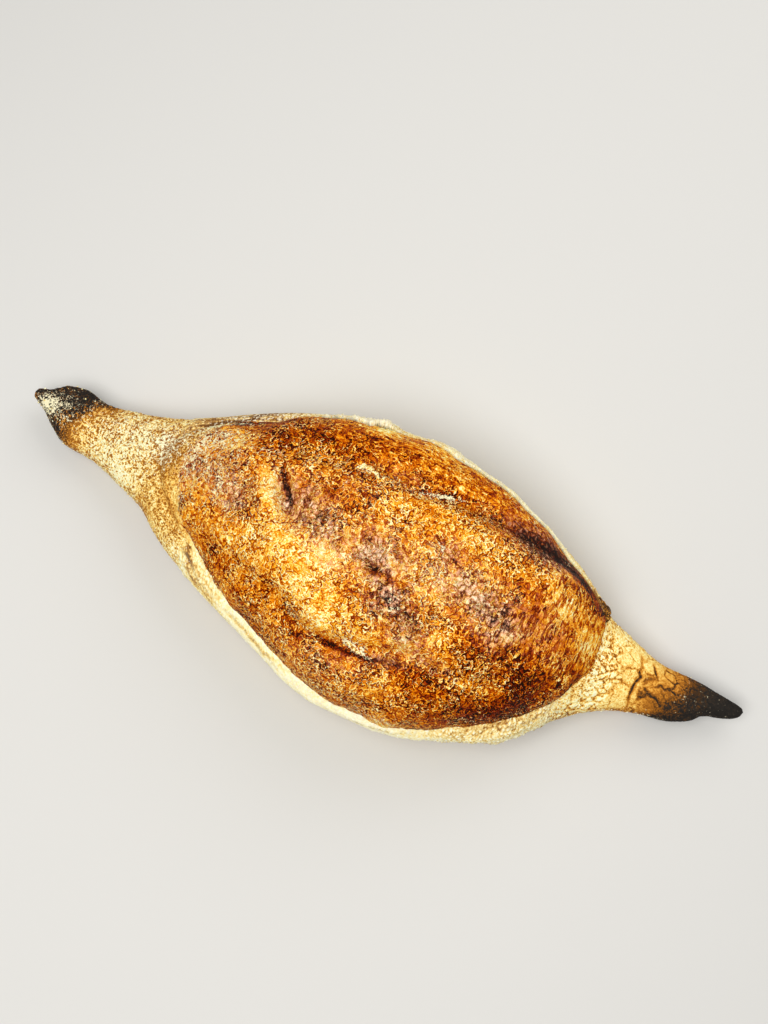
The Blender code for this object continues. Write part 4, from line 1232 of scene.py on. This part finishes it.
# Each flake follows its line on the dome. Its half width is the middle's times the root of 1 - t^2, ragged
# by noise, and it stands up from one side to the other as a half wave.
def makeFlakes(material):
    cfg = flakes
    points, blocks, looks, start = [], [], [], 0
    for k, (line, wide, thick, up, curled, baked, floured) in enumerate(cfg["pieces"]):
        line = np.array(line, float)
        way = np.concatenate([[0], np.cumsum(np.hypot(*np.diff(line, axis=0).T))])
        t = np.linspace(0, 1, max(int(way[-1] / cfg["step"]), 8))
        cx, cy = (np.interp(t * way[-1], way, line[:, i]) for i in (0, 1))
        turn = np.arctan2(np.gradient(cy), np.gradient(cx))
        v = np.linspace(-1, 1, cfg["across"])[None, :]
        spot = np.stack([cx, cy, 0 * cx + 50 * k], -1)
        half = wide * np.sqrt(np.clip(1.02 - (2 * t - 1) ** 2, 0, 1))
        sides = np.stack([spot, spot + np.array([0, 0, 20.0])], 1)
        ragged = 1 + 0.6 * hills(sides, 1.1, 261) + 0.4 * hills(sides, 0.45, 262)
        off = v * half[:, None] * np.where(v < 0, ragged[:, :1], ragged[:, 1:])
        x, y = cx[:, None] - off * np.sin(turn)[:, None], cy[:, None] + off * np.cos(turn)[:, None]
        grid = onRoll(x, y)
        normal = -facing(grid, wraps=False)
        stand = up * (1 - v * v) + curled * np.clip(v, 0, 1) ** 1.5 + 0.10 * hills(grid, 1.0, 263)
        stand = stand * np.sin(np.pi * np.clip(t, 0.02, 0.98))[:, None] ** 0.5
        body = thick / 2 * np.sqrt(np.clip(1.0 - v**2, 0.02, 1))
        top = grid + normal * (stand + body + 0.1)[..., None]
        bottom = grid + normal * (np.minimum(stand, 0.25) - body - 0.25)[..., None]
        ring = np.concatenate([top, bottom[:, ::-1]], 1)[:, ::-1]
        tips = np.stack([ring[0].mean(0), ring[-1].mean(0)])
        points.append(np.concatenate([ring.reshape(-1, 3), tips]))
        blocks += [block + start for block in ringFaces(*ring.shape[:2])]
        count = len(points[-1])
        looks.append(np.stack([np.full(count, baked), np.full(count, floured), np.full(count, 0.8)], -1))
        start += count
    points, looks = np.concatenate(points), np.concatenate(looks)
    looks[:, 0] += (0.35 - 0.25 * (looks[:, 0] > 0.5)) * np.clip(hills(points, 0.8, 265), -0.2, 1)
    points[:, 0] -= rollLength / 2
    layers = dict(zip(("baked", "floured", "grainy"), looks.T))
    return makePiece("crust_flakes", points, blocks, layers, material)


grains = {
    "tries": 60000,
    "radius": (0.13, 0.34),
    # where they lie, beyond the skin's own flour: place, half length, half width, share, turn
    "extra": [(8, 7, 5, 6, 0.4), (45, 6, 14, 12, 0.25)],
    "usual": 0.02,
}


# Grains lie where a random number is under the flour's share. Each has eight faces and is stretched and
# turned at random.
def makeGrains(material):
    cfg = grains
    random = np.random.default_rng(7)
    count = cfg["tries"]
    x = random.uniform(1.5, 224, count)
    angle = random.uniform(-0.9, np.pi + 0.9, count)
    share = x / rollLength
    place = skinSurface(share[:, None], angle[:, None])[:, 0]
    ahead = skinSurface(share[:, None] + 0.001, angle[:, None])[:, 0] - place
    around = skinSurface(share[:, None], angle[:, None] + 0.01)[:, 0] - place
    normal = np.cross(around, ahead)
    size = np.linalg.norm(normal, axis=1, keepdims=True)
    normal /= np.maximum(size, 1e-9)
    wall = ease(-normal[:, 2], -0.75, -0.1)
    look = skinLook(place[None], wall[None])
    share = cfg["usual"] + look[1][0] * 0.75 + spots(place[:, 0], place[:, 1], cfg["extra"])
    share *= np.clip(size[:, 0] / 0.35, 0, 1)  # as many to each square mm where the section is narrow
    clear = outside(place[:, 0], place[:, 1]) > -0.3 - 8 * (place[:, 0] < 50)
    kept = (random.random(count) < share) & clear
    kept &= place[:, 2] > 0.6
    place, normal = place[kept], normal[kept]
    count = len(place)
    low, high = cfg["radius"]
    radius = low + (high - low) * random.random(count) ** 2
    corners = np.array([(1, 0, 0), (-1, 0, 0), (0, 1, 0), (0, -1, 0), (0, 0, 1), (0, 0, -1)], float)
    stretch = random.uniform(0.65, 1.25, (count, 1, 3))
    turn = random.normal(size=(count, 3, 3))
    turn = np.linalg.qr(turn)[0]
    turn *= np.sign(np.linalg.det(turn))[:, None, None]
    local = (corners[None] * stretch * random.uniform(0.8, 1.2, (count, 6, 1))) @ turn
    radius = radius[:, None, None]
    points = place[:, None] + normal[:, None] * (0.35 * radius + 0.10) + local * radius
    faces = np.array([(0, 2, 4), (2, 1, 4), (1, 3, 4), (3, 0, 4), (2, 0, 5), (1, 2, 5), (3, 1, 5), (0, 3, 5)])
    faces = (faces[None] + 6 * np.arange(count)[:, None, None]).reshape(-1, 3)
    points = points.reshape(-1, 3)
    points[:, 2] = np.maximum(points[:, 2], clearance)
    points[:, 1] = np.clip(points[:, 1], clearance - rollWidth / 2, rollWidth / 2 - clearance)
    points[:, 0] = np.clip(points[:, 0], 0.05, rollLength - 0.05) - rollLength / 2
    tone = np.repeat(random.random(count), 6)
    return makePiece("flour_grains", points, [faces], {"tone": tone}, material)


# Cream grains, each of its own tone.
def grainFinish():
    f = Finish("flour and semolina")
    fine = f.noise(f.place(), 0.3, 2.0, 0.6)
    level = f.add(f.layer("tone"), f.centred(fine), 0.6)
    colour = f.ramp(level, [
        (0.0, (255, 252, 222)), (0.6, (255, 245, 190)), (0.85, (248, 226, 150)), (1.0, (214, 170, 92)),
    ])
    f.shade(Base_Color=colour, Specular_IOR_Level=0.12, Roughness=0.85)
    f.shade(Normal=f.bump(fine, 0.05, 0.6))
    return f.material


studio = {
    "aim": (-4.1, 19.2, 10.0),
    "azimuth": 24.52,
    "elevation": 80.0,
    "distance": 395.3,
    "lens": 45.0,
    "floorSize": 4000.0,
    "floorColour": (206, 204, 199),
    "skyStrength": 0.36,
    # place, size and power of each lamp
    "lamps": {"softbox": ((-60, -160, 620), 420, 3.55), "backFill": ((120, 420, 420), 500, 1.4)},
}


# A camera that looks at its aim from an azimuth, elevation and distance, a floor, a pale sky and two lamps.
def makeStudio():
    cfg = studio
    a, e = math.radians(cfg["azimuth"]), math.radians(cfg["elevation"])
    away = np.array([math.sin(a) * math.cos(e), -math.cos(a) * math.cos(e), math.sin(e)])
    data = bpy.data.cameras.new("camera")
    data.lens = cfg["lens"]
    data.clip_start = 0.01
    camera = bpy.data.objects.new("camera", data)
    camera.location = (np.array(cfg["aim"]) + away * cfg["distance"]) * mm
    camera.rotation_euler = (math.pi / 2 - e, 0.0, a)
    bpy.context.scene.collection.objects.link(camera)
    bpy.context.scene.camera = camera

    half = cfg["floorSize"] / 2 * mm
    mesh = bpy.data.meshes.new("floor")
    mesh.from_pydata([(-half, -half, -1e-4), (half, -half, -1e-4), (half, half, -1e-4), (-half, half, -1e-4)],
                     [], [(0, 1, 2, 3)])
    floor = bpy.data.objects.new("floor", mesh)
    f = Finish("pale floor")
    f.shade(Base_Color=(*tint(*cfg["floorColour"]), 1), Roughness=0.8)
    mesh.materials.append(f.material)
    bpy.context.scene.collection.objects.link(floor)

    for name, (place, size, power) in cfg["lamps"].items():
        lamp = bpy.data.lights.new(name, "AREA")
        lamp.shape = "SQUARE"
        lamp.size = size * mm
        lamp.energy = power
        light = bpy.data.objects.new(name, lamp)
        light.location = np.array(place) * mm
        toAim = np.array(cfg["aim"]) * mm - np.array(light.location)
        light.rotation_euler = (math.atan2(math.hypot(toAim[0], toAim[1]), -toAim[2]), 0.0,
                                math.atan2(toAim[1], toAim[0]) - math.pi / 2)
        bpy.context.scene.collection.objects.link(light)

    world = bpy.data.worlds.new("studio")
    world.use_nodes = True
    sky = world.node_tree.nodes["Background"]
    sky.inputs["Color"].default_value = (1.0, 1.0, 1.0, 1.0)
    sky.inputs["Strength"].default_value = cfg["skyStrength"]
    bpy.context.scene.world = world
    bpy.context.scene.view_settings.view_transform = "Standard"
    bpy.context.scene.view_settings.look = "None"
    print("studio ready")


makeStudio()
dome = makeCrust(crustFinish())
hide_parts("bread_roll")
skinLooks = skinFinish()
hull = makeSkin(skinLooks)
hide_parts("bread_roll")
for lip in makeLips(tornFinish()):
    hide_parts("bread_roll")
loose = makeFlakes(skinLooks)
grit = makeGrains(grainFinish())
